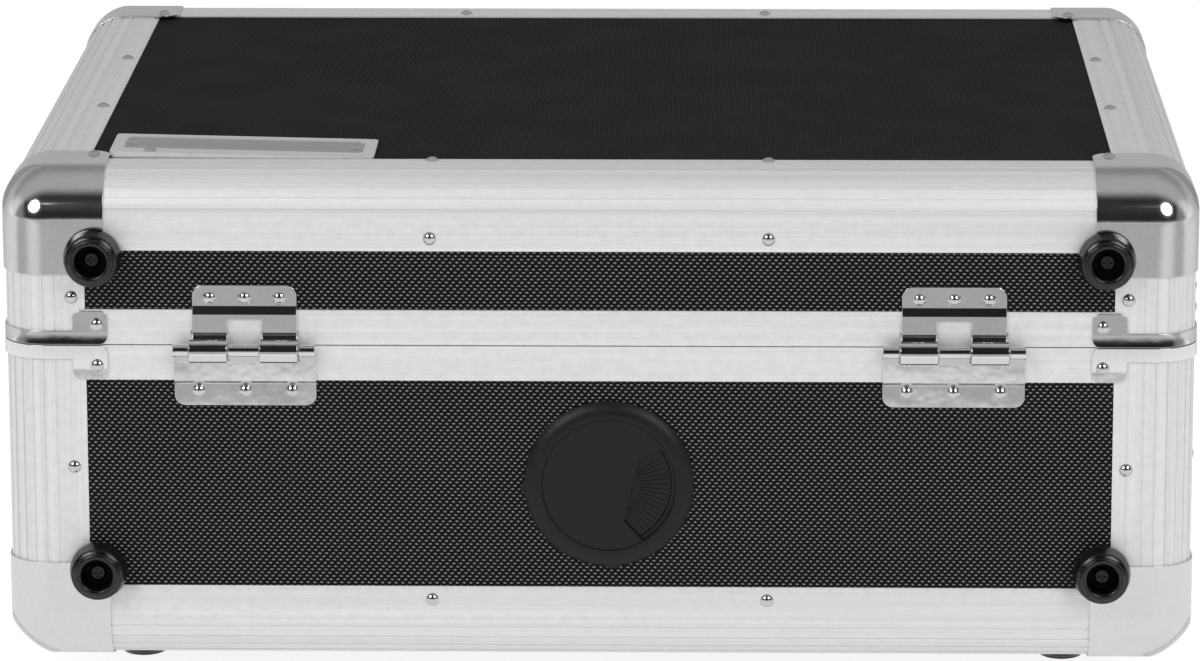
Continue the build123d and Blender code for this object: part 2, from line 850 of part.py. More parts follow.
with BuildPart() as cable_outlet_plate:
    with BuildSketch(outlet_plane.offset(plate_seat)):
        Circle(plate_radius)
        reach = 2 * plate_radius
        flare = cut_half + cut_flare * (reach - cut_chord)
        with BuildLine():
            Polyline(turned(cut_chord, -cut_half), turned(cut_chord, cut_half),
                     turned(reach, flare), turned(reach, -flare), close=True)
        make_face(mode=Mode.SUBTRACT)
    extrude(amount=plate_sheet)
    with BuildSketch(outlet_plane.offset(plate_seat)):
        Circle(spindle_radius)
    extrude(amount=shutter_low - 0.3 - plate_seat)
    with BuildSketch(outlet_plane.offset(shutter_low - 0.3)):
        Circle(spindle_radius + 1.4)
    extrude(amount=-1.2)
save(cable_outlet_plate, "cable_outlet_plate")

with BuildPart() as cable_outlet_shutter:
    with BuildSketch(outlet_plane.offset(shutter_low)):
        Circle(shutter_radius)
        beyond = 1.2 * shutter_radius
        with BuildLine():
            Polyline(turned(shutter_chord, -beyond), turned(-beyond, -beyond),
                     turned(-beyond, beyond), turned(shutter_chord, beyond), close=True)
        make_face(mode=Mode.SUBTRACT)
        Circle(spindle_radius + run_clear, mode=Mode.SUBTRACT)
    extrude(amount=shutter_sheet)
    with BuildSketch(outlet_plane.offset(shutter_top)):
        for index in range(shutter_ribs):
            turn = cut_turn + (index - (shutter_ribs - 1) / 2) * shutter_rib_turn
            across = shutter_rib_at * cos(radians(turn))
            up = shutter_rib_at * sin(radians(turn))
            with Locations(Location((across, up, 0), (0, 0, turn))):
                Rectangle(shutter_rib_length, shutter_rib_width)
    extrude(amount=-shutter_rib_depth, mode=Mode.SUBTRACT)
save(cable_outlet_shutter, "cable_outlet_shutter")

# Front latches: over-centre lever and claw on the base, plain ledge on the lid


def latch_plane(x):
    """Section plane of a front latch: local X outward from the front face, local Y up."""
    return Plane(origin=(x, front_y, seam_z), x_dir=(0, 1, 0), z_dir=(1, 0, 0))


def cheek_section():
    """Ear of the latch plate that carries the lever's stub pin."""
    with BuildSketch() as section:
        with BuildLine():
            Polyline((0, -latch_plate_high - 3), (latch_sheet, -latch_plate_high - 3),
                     (lever_pin_out, -lever_pin_drop + 3.4),
                     (lever_pin_out, -lever_pin_drop - 3.4),
                     (latch_sheet, -lever_pin_drop - cheek_foot), (0, -lever_pin_drop - cheek_foot),
                     close=True)
        make_face()
        with Locations((lever_pin_out, -lever_pin_drop)):
            Circle(3.4)
            Circle(stub_radius + 0.02, mode=Mode.SUBTRACT)
    return section.sketch


def lever_ear_section():
    """Side wing of the lever, from its stub pin past the claw's pin to the finger tab."""
    with BuildSketch() as section:
        with BuildLine():
            Polyline((lever_pin_out + 2.8, -lever_pin_drop), (lever_pin_out - 2.8, -lever_pin_drop),
                     (claw_pin_out - 2.4, -claw_pin_drop), (claw_pin_out - 1.0, -claw_pin_drop - 4),
                     (lever_pin_out + 1.6, -claw_pin_drop - 6), close=True)
        make_face()
        with Locations((lever_pin_out, -lever_pin_drop)):
            Circle(3.0)
            Circle(stub_radius + run_clear, mode=Mode.SUBTRACT)
        with Locations((claw_pin_out, -claw_pin_drop)):
            Circle(2.6)
            Circle(claw_pin_radius + 0.02, mode=Mode.SUBTRACT)
    return section.sketch


def lever_tab_section():
    """Face plate of the lever, curving out at its end for a finger."""
    face = lever_pin_out + 1.6
    turn = -lever_low + tab_bend
    with BuildSketch() as section:
        with BuildLine():
            Line((face, -lever_pin_drop - 4.4), (face, turn))
            RadiusArc((face, turn), (face + tab_curl, -lever_low), tab_curve)
            Line((face + tab_curl, -lever_low), (face + tab_curl - 1.8, -lever_low))
            RadiusArc((face + tab_curl - 1.8, -lever_low), (face - 1.6, turn), -tab_back_curve)
            Line((face - 1.6, turn), (face - 1.6, -lever_pin_drop - 4.4))
            Line((face - 1.6, -lever_pin_drop - 4.4), (face, -lever_pin_drop - 4.4))
        make_face()
    return section.sketch


def claw_section():
    """Claw: eye on its pin, straight shank and a lip over the lid's ledge."""
    back = claw_pin_out - claw_sheet / 2
    front = claw_pin_out + claw_sheet / 2
    lip = keeper_ledge + 0.1
    with BuildSketch() as section:
        with Locations((claw_pin_out, -claw_pin_drop)):
            Circle(2.4)
        with BuildLine():
            Polyline((back, -claw_pin_drop), (front, -claw_pin_drop), (front, lip + 1.6),
                     (front - 0.8, lip + 2.2), (latch_sheet + 0.5, lip + 2.2),
                     (latch_sheet + 0.5, lip), (back, lip), close=True)
        make_face()
        with Locations((claw_pin_out, -claw_pin_drop)):
            Circle(claw_pin_radius + run_clear, mode=Mode.SUBTRACT)
    return section.sketch


def keeper_section():
    """Keeper: plate on the closing profile with a rounded ledge for the claw."""
    with BuildSketch() as section:
        with BuildLine():
            Polyline((0, 3.0), (latch_sheet, 3.0), (latch_sheet, keeper_ledge - 2.4),
                     (keeper_reach - 1.0, keeper_ledge - 2.0), (keeper_reach, keeper_ledge - 1.2),
                     (keeper_reach, keeper_ledge - 0.4), (keeper_reach - 0.6, keeper_ledge),
                     (latch_sheet, keeper_ledge), (latch_sheet, keeper_top), (0, keeper_top),
                     close=True)
        make_face()
    return section.sketch


with BuildPart() as left_latch_plate:
    block(-latch_x - latch_plate_half, -latch_x + latch_plate_half, front_y, front_y + latch_sheet,
          seam_z - latch_plate_low, seam_z - latch_plate_high)
    fillet(edges().filter_by(Axis.Y), 3.0)
    for start, end in ((-cheek_out, -cheek_in), (cheek_in, cheek_out)):
        with BuildSketch(latch_plane(-latch_x + start)):
            add(cheek_section())
        extrude(amount=end - start)
save(left_latch_plate, "left_latch_plate")

with BuildPart() as left_latch_lever:
    for start, end in ((-lever_ear_out, -lever_ear_in), (lever_ear_in, lever_ear_out)):
        with BuildSketch(latch_plane(-latch_x + start)):
            add(lever_ear_section())
        extrude(amount=end - start)
    with BuildSketch(latch_plane(-latch_x - lever_ear_out)):
        add(lever_tab_section())
    extrude(amount=2 * lever_ear_out)
    slot_half = claw_half + slot_clear
    block(-latch_x - slot_half, -latch_x + slot_half, front_y + claw_pin_out,
          front_y + 2 * lever_pin_out, seam_z - slot_low, seam_z - lever_pin_drop,
          mode=Mode.SUBTRACT)
save(left_latch_lever, "left_latch_lever")

with BuildPart() as left_latch_claw:
    with BuildSketch(latch_plane(-latch_x - claw_half)):
        add(claw_section())
    extrude(amount=2 * claw_half)
save(left_latch_claw, "left_latch_claw")

with BuildPart() as left_claw_pin:
    with Locations(Location((-latch_x, front_y + claw_pin_out, seam_z - claw_pin_drop),
                            (0, 90, 0))):
        Cylinder(claw_pin_radius, 2 * lever_ear_out)
save(left_claw_pin, "left_claw_pin")

with BuildPart() as left_latch_keeper:
    with BuildSketch(latch_plane(-latch_x - keeper_half)):
        add(keeper_section())
    extrude(amount=2 * keeper_half)
    tips = [e for e in edges().filter_by(Axis.Y) if e.center().Z > seam_z + keeper_top - 1]
    fillet(tips, 3.0)
save(left_latch_keeper, "left_latch_keeper")

with BuildPart() as right_latch_plate:
    mirror(left_latch_plate.part, about=Plane.YZ)
save(right_latch_plate, "right_latch_plate")

with BuildPart() as right_latch_lever:
    mirror(left_latch_lever.part, about=Plane.YZ)
save(right_latch_lever, "right_latch_lever")

with BuildPart() as right_latch_claw:
    mirror(left_latch_claw.part, about=Plane.YZ)
save(right_latch_claw, "right_latch_claw")

with BuildPart() as right_claw_pin:
    mirror(left_claw_pin.part, about=Plane.YZ)
save(right_claw_pin, "right_claw_pin")

with BuildPart() as right_latch_keeper:
    mirror(left_latch_keeper.part, about=Plane.YZ)
save(right_latch_keeper, "right_latch_keeper")

with BuildPart() as latch_stub_pins:
    stub = cheek_out + 0.6 - lever_ear_in
    for side in (-1, 1):
        centre = side * (lever_ear_in + stub / 2)
        with Locations(Location((-latch_x + centre, front_y + lever_pin_out,
                                 seam_z - lever_pin_drop), (0, 90, 0))):
            Cylinder(stub_radius, stub)
    mirror(about=Plane.YZ)
save(latch_stub_pins, "latch_stub_pins")

# Front handle: two forked brackets, a steel bail and a moulded grip that hangs down
handle_y = front_y + handle_pin_out
handle_z = seam_z - handle_drop


def handle_plane(x):
    """Section plane of the handle: local X outward from the front face, local Y up."""
    return Plane(origin=(x, front_y, handle_z), x_dir=(0, 1, 0), z_dir=(1, 0, 0))


def bracket_cheek_section():
    """Rounded cheek of a handle bracket with its pin hole."""
    with BuildSketch() as section:
        with BuildLine():
            Polyline((-0.8, -bracket_radius - 1.6), (handle_pin_out, -bracket_radius),
                     (handle_pin_out, bracket_radius), (-0.8, bracket_radius + 1.6), close=True)
        make_face()
        with Locations((handle_pin_out, 0)):
            Circle(bracket_radius)
            Circle(handle_pin_radius + 0.02, mode=Mode.SUBTRACT)
    return section.sketch


with BuildPart() as handle_brackets:
    block(handle_pin_x - bracket_half, handle_pin_x + bracket_half, front_y - skin,
          front_y - skin + 2.0, handle_z - bracket_tall / 2, handle_z + bracket_tall / 2)
    fillet(edges().filter_by(Axis.Y), 5.0)
    for side in (-1, 1):
        near = handle_pin_x + side * (cheek_gap + bracket_cheek / 2) - bracket_cheek / 2
        with BuildSketch(handle_plane(near)):
            add(bracket_cheek_section())
        extrude(amount=bracket_cheek)
    mirror(about=Plane.YZ)
save(handle_brackets, "handle_brackets")

with BuildPart() as handle_pins:
    with Locations(Location((handle_pin_x, handle_y, handle_z), (0, 90, 0))):
        Cylinder(handle_pin_radius, 2 * (cheek_gap + bracket_cheek) + 1.2)
    mirror(about=Plane.YZ)
save(handle_pins, "handle_pins")

with BuildPart() as handle_bail:
    with Locations(Location((handle_pin_x, handle_y, handle_z), (0, 90, 0))):
        Cylinder(bail_eye, bail_width)
    block(handle_pin_x - bail_width / 2, handle_pin_x + bail_width / 2,
          handle_y - bail_thick / 2, handle_y + bail_thick / 2,
          handle_z - bail_drop - bail_width / 2, handle_z)
    mirror(about=Plane.YZ)
    block(-handle_pin_x, handle_pin_x, handle_y - bail_thick / 2, handle_y + bail_thick / 2,
          handle_z - bail_drop - bail_width / 2, handle_z - bail_drop + bail_width / 2)
    with Locations(Location((0, handle_y, handle_z), (0, 90, 0))):
        Cylinder(handle_pin_radius + run_clear, 3 * handle_pin_x, mode=Mode.SUBTRACT)
save(handle_bail, "handle_bail")

with BuildPart() as handle_grip:
    with BuildSketch(handle_plane(-grip_half)):
        with Locations((handle_pin_out, -bail_drop)):
            RectangleRounded(grip_thick, grip_tall, 5.6)
            Rectangle(bail_thick + 0.1, bail_width + 0.1, mode=Mode.SUBTRACT)
    extrude(amount=2 * grip_half)
    chamfer(faces().sort_by(Axis.X)[0].outer_wire().edges(), 1.4)
    chamfer(faces().sort_by(Axis.X)[-1].outer_wire().edges(), 1.4)
save(handle_grip, "handle_grip")

# Foam: floor pad, wall strips with a gap at the cable outlet, and the lid's pad
foam_in = inner + liner
strip_in = foam_in + wall_foam
strip_low = bottom_z + foam_in
strip_high = base_top - rim_height - 0.4
outlet_gap = 38.0

with BuildPart() as base_floor_foam:
    block(-side_x + strip_in + 0.3, side_x - strip_in - 0.3, rear_y + strip_in + 0.3,
          front_y - strip_in - 0.3, bottom_z + inner, bottom_z + inner + floor_foam)
save(base_floor_foam, "base_floor_foam")

with BuildPart() as base_wall_foam:
    block(-side_x + foam_in, -side_x + strip_in, rear_y + strip_in + 0.3,
          front_y - strip_in - 0.3, strip_low, strip_high)
    mirror(about=Plane.YZ)
    block(-side_x + strip_in, side_x - strip_in, front_y - strip_in, front_y - foam_in,
          strip_low, strip_high)
    block(-side_x + strip_in, outlet_x - outlet_gap, rear_y + foam_in, rear_y + strip_in,
          strip_low, strip_high)
    block(outlet_x + outlet_gap, side_x - strip_in, rear_y + foam_in, rear_y + strip_in,
          strip_low, strip_high)
save(base_wall_foam, "base_wall_foam")

with BuildPart() as lid_top_foam:
    block(-side_x + strip_in, side_x - strip_in, rear_y + strip_in, front_y - strip_in,
          top_z - inner - lid_foam, top_z - inner)
save(lid_top_foam, "lid_top_foam")

# Bare name plate: raised border, its left end resting on the ball corner's edge
badge_rise = cap_reach + skin + 0.1
badge_long = plate_right - plate_left
badge_plane = Plane(origin=(plate_right, rear_y + badge_near, top_z - skin),
                    x_dir=(-badge_long, 0, badge_rise), z_dir=(badge_rise, 0, badge_long))

with BuildPart() as badge_plate:
    with BuildSketch(badge_plane):
        with Locations((badge_long / 2, -badge_deep / 2)):
            RectangleRounded(badge_long, badge_deep, 2.0)
    extrude(amount=badge_sheet)
    with BuildSketch(badge_plane.offset(badge_sheet)):
        field_deep = badge_deep - badge_border - badge_near_border
        with Locations((badge_long / 2, -badge_near_border - field_deep / 2)):
            RectangleRounded(badge_long - 2 * badge_border, field_deep, 2.0)
    extrude(amount=-badge_recess, mode=Mode.SUBTRACT)
save(badge_plate, "badge_plate")


def latch_rivets():
    """Places of the rivets in the front latch plates."""
    spots = []
    for side in (-1, 1):
        for x in (-latch_rivet_in, latch_rivet_in):
            for drop in latch_rivet_drops:
                point = (side * latch_x + x, front_y + latch_sheet, seam_z - drop)
                spots.append(place(point, (0, 1, 0)))
    return spots


def keeper_rivets():
    """Places of the rivets in the lid's latch keepers."""
    spots = []
    for side in (-1, 1):
        for x in (-7.0, 7.0):
            point = (side * latch_x + x, front_y + latch_sheet, seam_z + keeper_rivet_rise)
            spots.append(place(point, (0, 1, 0)))
    return spots


def badge_rivet_places():
    """Places of the rivets in the name plate, on its raised border or in its field."""
    spots = []
    for across, up in badge_rivets:
        level = badge_sheet - (badge_recess if up > badge_near_border else 0)
        local = badge_plane.from_local_coords((badge_long - across, -up, level))
        spots.append(place(local, badge_plane.z_dir))
    return spots


with BuildPart() as base_rivets:
    hinge_spots = rear_rivets(-hinge_x, base_hinge_rivets) + rear_rivets(hinge_x, base_hinge_rivets)
    with Locations(half_rivets(-1) + hinge_spots + latch_rivets()):
        add(rivet_head.part)
save(base_rivets, "base_rivets")

with BuildPart() as lid_rivets:
    hinge_spots = rear_rivets(-hinge_x, lid_hinge_rivets) + rear_rivets(hinge_x, lid_hinge_rivets)
    with Locations(half_rivets(1) + hinge_spots + keeper_rivets() + badge_rivet_places()):
        add(rivet_head.part)
save(lid_rivets, "lid_rivets")
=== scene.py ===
"""Looks of a turntable flight case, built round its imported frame.

Everything is in metres in the frame's own axes: +Z is up, the hinges and the cable outlet are on
the rear (-Y), the latches and the handle on the front (+Y). The camera looks at the rear.
"""

import logging
import math
from contextlib import contextmanager
from dataclasses import dataclass, field
from enum import Enum
from typing import Any, Callable, Iterator, Sequence

import bpy
from mathutils import Matrix, Vector


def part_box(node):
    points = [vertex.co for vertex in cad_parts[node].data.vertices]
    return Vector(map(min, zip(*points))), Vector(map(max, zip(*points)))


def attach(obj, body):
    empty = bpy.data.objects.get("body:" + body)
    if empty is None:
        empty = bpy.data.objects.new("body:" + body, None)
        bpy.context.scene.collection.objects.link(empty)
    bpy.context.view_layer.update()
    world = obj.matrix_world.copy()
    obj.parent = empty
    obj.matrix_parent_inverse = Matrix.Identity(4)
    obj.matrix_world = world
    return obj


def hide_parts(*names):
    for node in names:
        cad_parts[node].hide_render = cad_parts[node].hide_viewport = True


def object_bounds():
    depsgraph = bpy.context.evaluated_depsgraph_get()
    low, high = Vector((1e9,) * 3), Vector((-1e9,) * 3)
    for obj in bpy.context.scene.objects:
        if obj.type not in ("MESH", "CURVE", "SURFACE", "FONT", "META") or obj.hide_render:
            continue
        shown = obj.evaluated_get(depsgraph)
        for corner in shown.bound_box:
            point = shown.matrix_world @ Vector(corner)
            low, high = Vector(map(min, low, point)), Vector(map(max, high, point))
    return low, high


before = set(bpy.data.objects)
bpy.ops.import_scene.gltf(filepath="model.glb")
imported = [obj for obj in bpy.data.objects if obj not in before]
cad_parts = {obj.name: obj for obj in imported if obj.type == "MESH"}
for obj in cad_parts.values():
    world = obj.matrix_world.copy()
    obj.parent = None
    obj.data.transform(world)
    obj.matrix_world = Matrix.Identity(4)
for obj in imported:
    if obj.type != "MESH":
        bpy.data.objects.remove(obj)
cad_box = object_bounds()

log = logging.getLogger("flight_case")
MM = 0.001
FULL_TURN = 2 * math.pi
DEGREES = 180 / math.pi
MERGE = 0.000004  # points of a copied mesh that lie closer than this become one
CELL = 0.000005  # points of a frame mesh that share such a cell are one
FLAT = math.radians(0.4)  # faces that turn less than this become one
CREASE = 35.0  # degrees
Piece = bpy.types.Object
Material = bpy.types.Material
Number = float | int
Colour = tuple[float, float, float]
Pair = tuple[float, float]
Point = tuple[float, float, float]


class Axis(Enum):
    """Direction that a grain or a rail runs along."""

    X = 0
    Y = 1
    Z = 2


class Face(Enum):
    """Pair of object axes that a flat pattern is laid on."""

    REAR = ("X", "Z")
    SIDE = ("Y", "Z")


class Value:
    """Shader socket that takes part in Python sums."""

    def __init__(self, shader: "Graph", socket: Any) -> None:
        """Keep the socket and the shader that it belongs to."""
        self.shader = shader
        self.socket = socket

    def apply(self, operation: str, *others: Any) -> "Value":
        """Run one Math node on this value, with others as its further inputs."""
        return self.shader.math(operation, self, *others)

    def __add__(self, other: Any) -> "Value":
        """Sum."""
        return self.apply("ADD", other)

    __radd__ = __add__

    def __sub__(self, other: Any) -> "Value":
        """Difference."""
        return self.apply("SUBTRACT", other)

    def __rsub__(self, other: Any) -> "Value":
        """Difference with a number first."""
        return self.shader.math("SUBTRACT", other, self)

    def __mul__(self, other: Any) -> "Value":
        """Product."""
        return self.apply("MULTIPLY", other)

    __rmul__ = __mul__

    def __truediv__(self, other: Any) -> "Value":
        """Quotient."""
        return self.apply("DIVIDE", other)

    def __gt__(self, other: Any) -> "Value":
        """1 where this value is greater, else 0."""
        return self.apply("GREATER_THAN", other)

    def step(self, low: Number, high: Number) -> "Value":
        """Smooth step from 0 at low to 1 at high."""
        node = self.shader.node("ShaderNodeMapRange", {"interpolation_type": "SMOOTHSTEP"},
                                {"Value": self, "From Min": low, "From Max": high})
        return Value(self.shader, node.outputs["Result"])


class Graph:
    """Tree of shader nodes, written as sums."""

    def __init__(self, tree: bpy.types.NodeTree) -> None:
        """Keep the tree that the nodes go into."""
        self.tree = tree

    def node(self, kind: str, settings: dict[str, Any], inputs: dict[Any, Any]) -> Any:
        """Add one node.

        Args:
            kind: the node's type.
            settings: properties set before its sockets.
            inputs: socket name or index to a Value, a socket or a plain value.

        Returns:
            The new node.
        """
        node = self.tree.nodes.new(kind)
        for key, value in settings.items():
            setattr(node, key, value)
        for key, value in inputs.items():
            if isinstance(value, Value):
                value = value.socket
            if isinstance(value, bpy.types.NodeSocket):
                self.tree.links.new(value, node.inputs[key])
            else:
                node.inputs[key].default_value = value
        return node

    def math(self, operation: str, *values: Any) -> Value:
        """Run one Math node on Values or numbers."""
        node = self.node("ShaderNodeMath", {"operation": operation}, dict(enumerate(values)))
        return Value(self, node.outputs[0])

    def where(self, kind: str = "Object") -> Any:
        """One of the Texture Coordinate sockets."""
        return self.node("ShaderNodeTexCoord", {}, {}).outputs[kind]

    def axes(self, kind: str = "Object") -> list[Value]:
        """Such coordinates, one value for each axis."""
        parts = self.node("ShaderNodeSeparateXYZ", {}, {0: self.where(kind)})
        return [Value(self, output) for output in parts.outputs]

    def place(self) -> list[Value]:
        """Object coordinates in millimetres, one value for each axis."""
        return [part * (1 / MM) for part in self.axes()]

    def noise(self, scale: Number | Sequence[float], detail: float = 3.0,
              rough: float = 0.55) -> Value:
        """Noise on object coordinates.

        Args:
            scale: how many cells there are to a metre, for all axes or for each.
            detail: number of octaves.
            rough: weight of the finer octaves.

        Returns:
            The noise, from 0 to 1.
        """
        cells = (scale,) * 3 if isinstance(scale, Number) else tuple(scale)
        turned = self.node("ShaderNodeMapping", {}, {"Vector": self.where(), "Scale": cells})
        node = self.node("ShaderNodeTexNoise", {}, {"Vector": turned.outputs[0], "Scale": 1.0,
                                                    "Detail": detail, "Roughness": rough})
        return Value(self, node.outputs["Fac"])

    def tint(self, factor: Value, low: Colour, high: Colour) -> Any:
        """Colour between two colours.

        Args:
            factor: 0 gives low and 1 gives high.
            low: red, green and blue.
            high: red, green and blue.

        Returns:
            The colour socket.
        """
        node = self.node("ShaderNodeMix", {"data_type": "RGBA"},
                         {0: factor, 6: (*low, 1.0), 7: (*high, 1.0)})
        return node.outputs[2]

    def light_path(self, name: str) -> Value:
        """One of the Light Path tests, such as Is Camera Ray."""
        node = self.node("ShaderNodeLightPath", {}, {})
        return Value(self, node.outputs[name])

    def seen(self) -> Value:
        """1 where the camera looks at it, straight or through something clear, else 0."""
        return (self.light_path("Is Camera Ray") + self.light_path("Is Transmission Ray")) > 0


class Shader(Graph):
    """Node material with a Principled surface."""

    def __init__(self, name: str, **fixed: Any) -> None:
        """Start a material.

        Args:
            name: the material's name.
            fixed: uniform values, each set on the Principled socket of that name.
        """
        self.material = bpy.data.materials.new(name)
        self.material.use_nodes = True
        super().__init__(self.material.node_tree)
        self.surface = self.tree.nodes["Principled BSDF"]
        for key, value in fixed.items():
            self.surface.inputs[key.replace("_", " ")].default_value = value

    def feed(self, name: str, value: Any) -> None:
        """Link a varying value to one of the surface's sockets."""
        socket = value.socket if isinstance(value, Value) else value
        self.tree.links.new(socket, self.surface.inputs[name])

    def worn_edge(self, low: float, high: float) -> Value:
        """Share of wear on convex edges, where the surface turns more than low to high."""
        node = self.node("ShaderNodeNewGeometry", {}, {})
        rubbed = self.noise(240, 3.0).step(0.35, 0.65)
        return Value(self, node.outputs["Pointiness"]).step(low, high) * rubbed

    def bump(self, height: Value, distance: float, strength: float = 1.0) -> None:
        """Raise the surface by a height from 0 to 1.

        Args:
            height: the height.
            distance: what 1 stands for, in metres.
            strength: share of the effect.
        """
        node = self.node("ShaderNodeBump", {}, {"Height": height, "Distance": distance,
                                                "Strength": strength})
        self.feed("Normal", node.outputs[0])


@dataclass(frozen=True)
class Laminate:
    """Black laminate with rows of raised, staggered grains, whose pale colour is a painted
    highlight.
    """

    name: str
    face: Face
    across: float = 2.9
    rows: float = 2.86
    ground: Colour = (0.0035, 0.0035, 0.0037)
    # painted highlight: the grains' pale colour stands for light glinting on them
    grain: Colour = (0.285, 0.285, 0.289)
    roughness: float = 0.42
    gloss: float = 0.12
    lean: float = 0.16
    wobble: float = 0.5
    depth: float = 0.00022

    def make(self) -> Material:
        """Build the material."""
        shader = Shader(self.name, Specular_IOR_Level=self.gloss)
        axes = dict(zip("XYZ", shader.place()))
        first, second = (axes[letter] for letter in self.face.value)
        wander = shader.noise(110, 2.0) * self.wobble - self.wobble / 2
        slant = first + second * self.lean + wander
        turn = (second + wander) * (FULL_TURN / self.rows)
        wave = (slant * (FULL_TURN / self.across)).apply("COSINE") * turn.apply("COSINE")
        flat = (turn * 2).apply("COSINE") * 0.5 - 0.5
        raised = (wave + flat).step(-0.25, 0.85)
        patch = shader.noise(34, 3.0)
        fine_speckle = shader.noise(700, 2.0)
        # painted highlight: the raised grains are painted pale, brighter or dimmer with the noise
        painted_glint = raised * (fine_speckle * 0.5 + patch * 0.3 + 0.42)
        shader.feed("Base Color", shader.tint(painted_glint, self.ground, self.grain))
        shader.feed("Roughness", patch * 0.12 + self.roughness - raised * 0.06)
        shader.bump(raised + fine_speckle * 0.1, self.depth, 0.8)
        return shader.material


@dataclass(frozen=True)
class ShadedLaminateTop:
    """Lid board's face: the walls' laminate painted nearly black as painted shade, with fine rows
    from front to rear.
    """

    name: str
    # painted shade: these colours make the walls' laminate nearly black, as the lid's face
    # catches little light
    low: Colour = (0.0012, 0.0012, 0.0014)
    high: Colour = (0.0270, 0.0270, 0.0275)
    pitch: float = 1.1
    tick: float = 2.2
    roughness: float = 0.62
    gloss: float = 0.03
    depth: float = 0.00012

    def make(self) -> Material:
        """Build the material."""
        shader = Shader(self.name, Specular_IOR_Level=self.gloss)
        along, across, _ = shader.place()
        wander = shader.noise((60, 25, 60), 3.0)
        rows = ((along + wander * 3.0) * (FULL_TURN / self.pitch)).apply("COSINE")
        ticks = ((across + wander * 6.0) * (FULL_TURN / (self.pitch * self.tick))).apply("COSINE")
        row_pattern = (rows * 0.4 + ticks * rows * 0.2 + 0.5).step(0.1, 0.95)
        patch = shader.noise(28, 3.0)
        tone = row_pattern * 0.75 + patch * 0.6 - 0.13
        shader.feed("Base Color", shader.tint(tone, self.low, self.high))
        shader.feed("Roughness", patch * 0.1 + self.roughness)
        shader.bump(row_pattern, self.depth, 0.5)
        return shader.material


@dataclass(frozen=True)
class SatinAluminium:
    """Anodised extrusion with fine lines along its length, faint scuffs and bright edges."""

    name: str
    along: Axis
    colour: Colour = (0.84, 0.843, 0.848)
    roughness: float = 0.52
    metal: float = 0.62
    fine: Pair = (1300.0, 3.0)
    coarse: Pair = (230.0, 0.5)
    depth: float = 0.00003

    def _drawn(self, cells: Pair) -> list[float]:
        """Cells to a metre along each axis, from those across and along the lines."""
        return [cells[axis is self.along] for axis in Axis]

    def make(self) -> Material:
        """Build the material."""
        shader = Shader(self.name, Metallic=self.metal)
        lines = shader.noise(self._drawn(self.fine), 4.0, 0.7)
        bands = shader.noise(self._drawn(self.coarse), 2.0)
        scuff = shader.noise(170, 5.0, 0.65).step(0.66, 0.80)
        edge = shader.worn_edge(0.512, 0.56)
        mixed = lines * 0.55 + bands * 0.45
        dark = tuple(part * 0.85 for part in self.colour)
        bright = tuple(min(part * 1.06, 1.0) for part in self.colour)
        tone = mixed.step(0.30, 0.70) * 0.8 + 0.15 + edge * 0.25 - scuff * 0.12
        shader.feed("Base Color", shader.tint(tone, dark, bright))
        shader.feed("Roughness", mixed * 0.14 + scuff * 0.08 + self.roughness - 0.07)
        shader.bump(lines * 0.7 + bands * 0.3, self.depth, 0.55)
        return shader.material


@dataclass(frozen=True)
class Plated:
    """Polished or satin plating, with faint rub marks and clouded patches."""

    name: str
    roughness: float = 0.09
    colour: Colour = (0.77, 0.775, 0.785)
    rub: float = 0.09
    waviness: float = 0.00016

    def swell(self, shader: Shader) -> Value | float:
        """Height, in shares of the waviness, of a form pressed into the sheet."""
        return 0.0

    def make(self) -> Material:
        """Build the material."""
        shader = Shader(self.name, Metallic=1.0)
        marks = shader.noise(420, 5.0, 0.6)
        cloud = shader.noise(45, 3.0)
        dark = tuple(part * 0.93 for part in self.colour)
        tone = marks * 0.5 + cloud * 0.5
        shader.feed("Base Color", shader.tint(tone.step(0.3, 0.7), dark, self.colour))
        shader.feed("Roughness", tone * self.rub + self.roughness - self.rub / 2)
        shader.bump(cloud + self.swell(shader), self.waviness)
        return shader.material


@dataclass(frozen=True)
class FlaredPlate(Plated):
    """Plating on a strap whose lips flare out towards the seam."""

    seam: float = 148.7
    reach: float = 11.0
    deep: float = 0.0012

    def swell(self, shader: Shader) -> Value:
        """Rise towards the seam, from both sides."""
        height = shader.place()[2]
        near = (1 - (height - self.seam).apply("ABSOLUTE") / self.reach).apply("MAXIMUM", 0.0)
        return near * near * (self.deep / self.waviness)


@dataclass(frozen=True)
class LeaningPlate(Plated):
    """Plating on a leaf whose lower flap leans outwards."""

    fold: float = 131.8
    reach: float = 9.4
    deep: float = 0.0002

    def swell(self, shader: Shader) -> Value:
        """Rise from the fold to the flap's foot."""
        height = shader.place()[2]
        down = ((self.fold - height) / self.reach).apply("MAXIMUM", 0.0).apply("MINIMUM", 1.0)
        return down * (self.deep / self.waviness)


@dataclass(frozen=True)
class Moulded:
    """Moulded rubber or plastic with a fine grain and paler edges."""

    name: str
    colour: Colour
    roughness: float
    grain: float = 1400.0
    depth: float = 0.00006
    gloss: float = 0.5

    def swell(self, shader: Shader) -> Value | float:
        """Height, in shares of the grain's depth, of a moulded pattern."""
        return 0.0

    def make(self) -> Material:
        """Build the material."""
        shader = Shader(self.name, Specular_IOR_Level=self.gloss)
        grain = shader.noise(self.grain, 3.0, 0.6)
        dust = shader.noise(70, 4.0).step(0.45, 0.8)
        edge = shader.worn_edge(0.515, 0.58)
        light = tuple(part * 2.2 for part in self.colour)
        tone = grain * 0.4 + dust * 0.15 + edge * 0.5
        shader.feed("Base Color", shader.tint(tone, self.colour, light))
        shader.feed("Roughness", grain * 0.12 + dust * 0.06 + self.roughness - 0.07)
        shader.bump(grain + self.swell(shader), self.depth)
        return shader.material


@dataclass(frozen=True)
class RibbedGrip(Moulded):
    """Moulded plastic with ridges across the handle for the fingers."""

    ridge: float = 4.6
    rise: float = 9.0

    def swell(self, shader: Shader) -> Value:
        """Ridges one after another along the handle."""
        along = shader.place()[0] * (FULL_TURN / self.ridge)
        return (along.apply("COSINE") * 0.5 + 0.5).step(0.1, 0.7) * self.rise


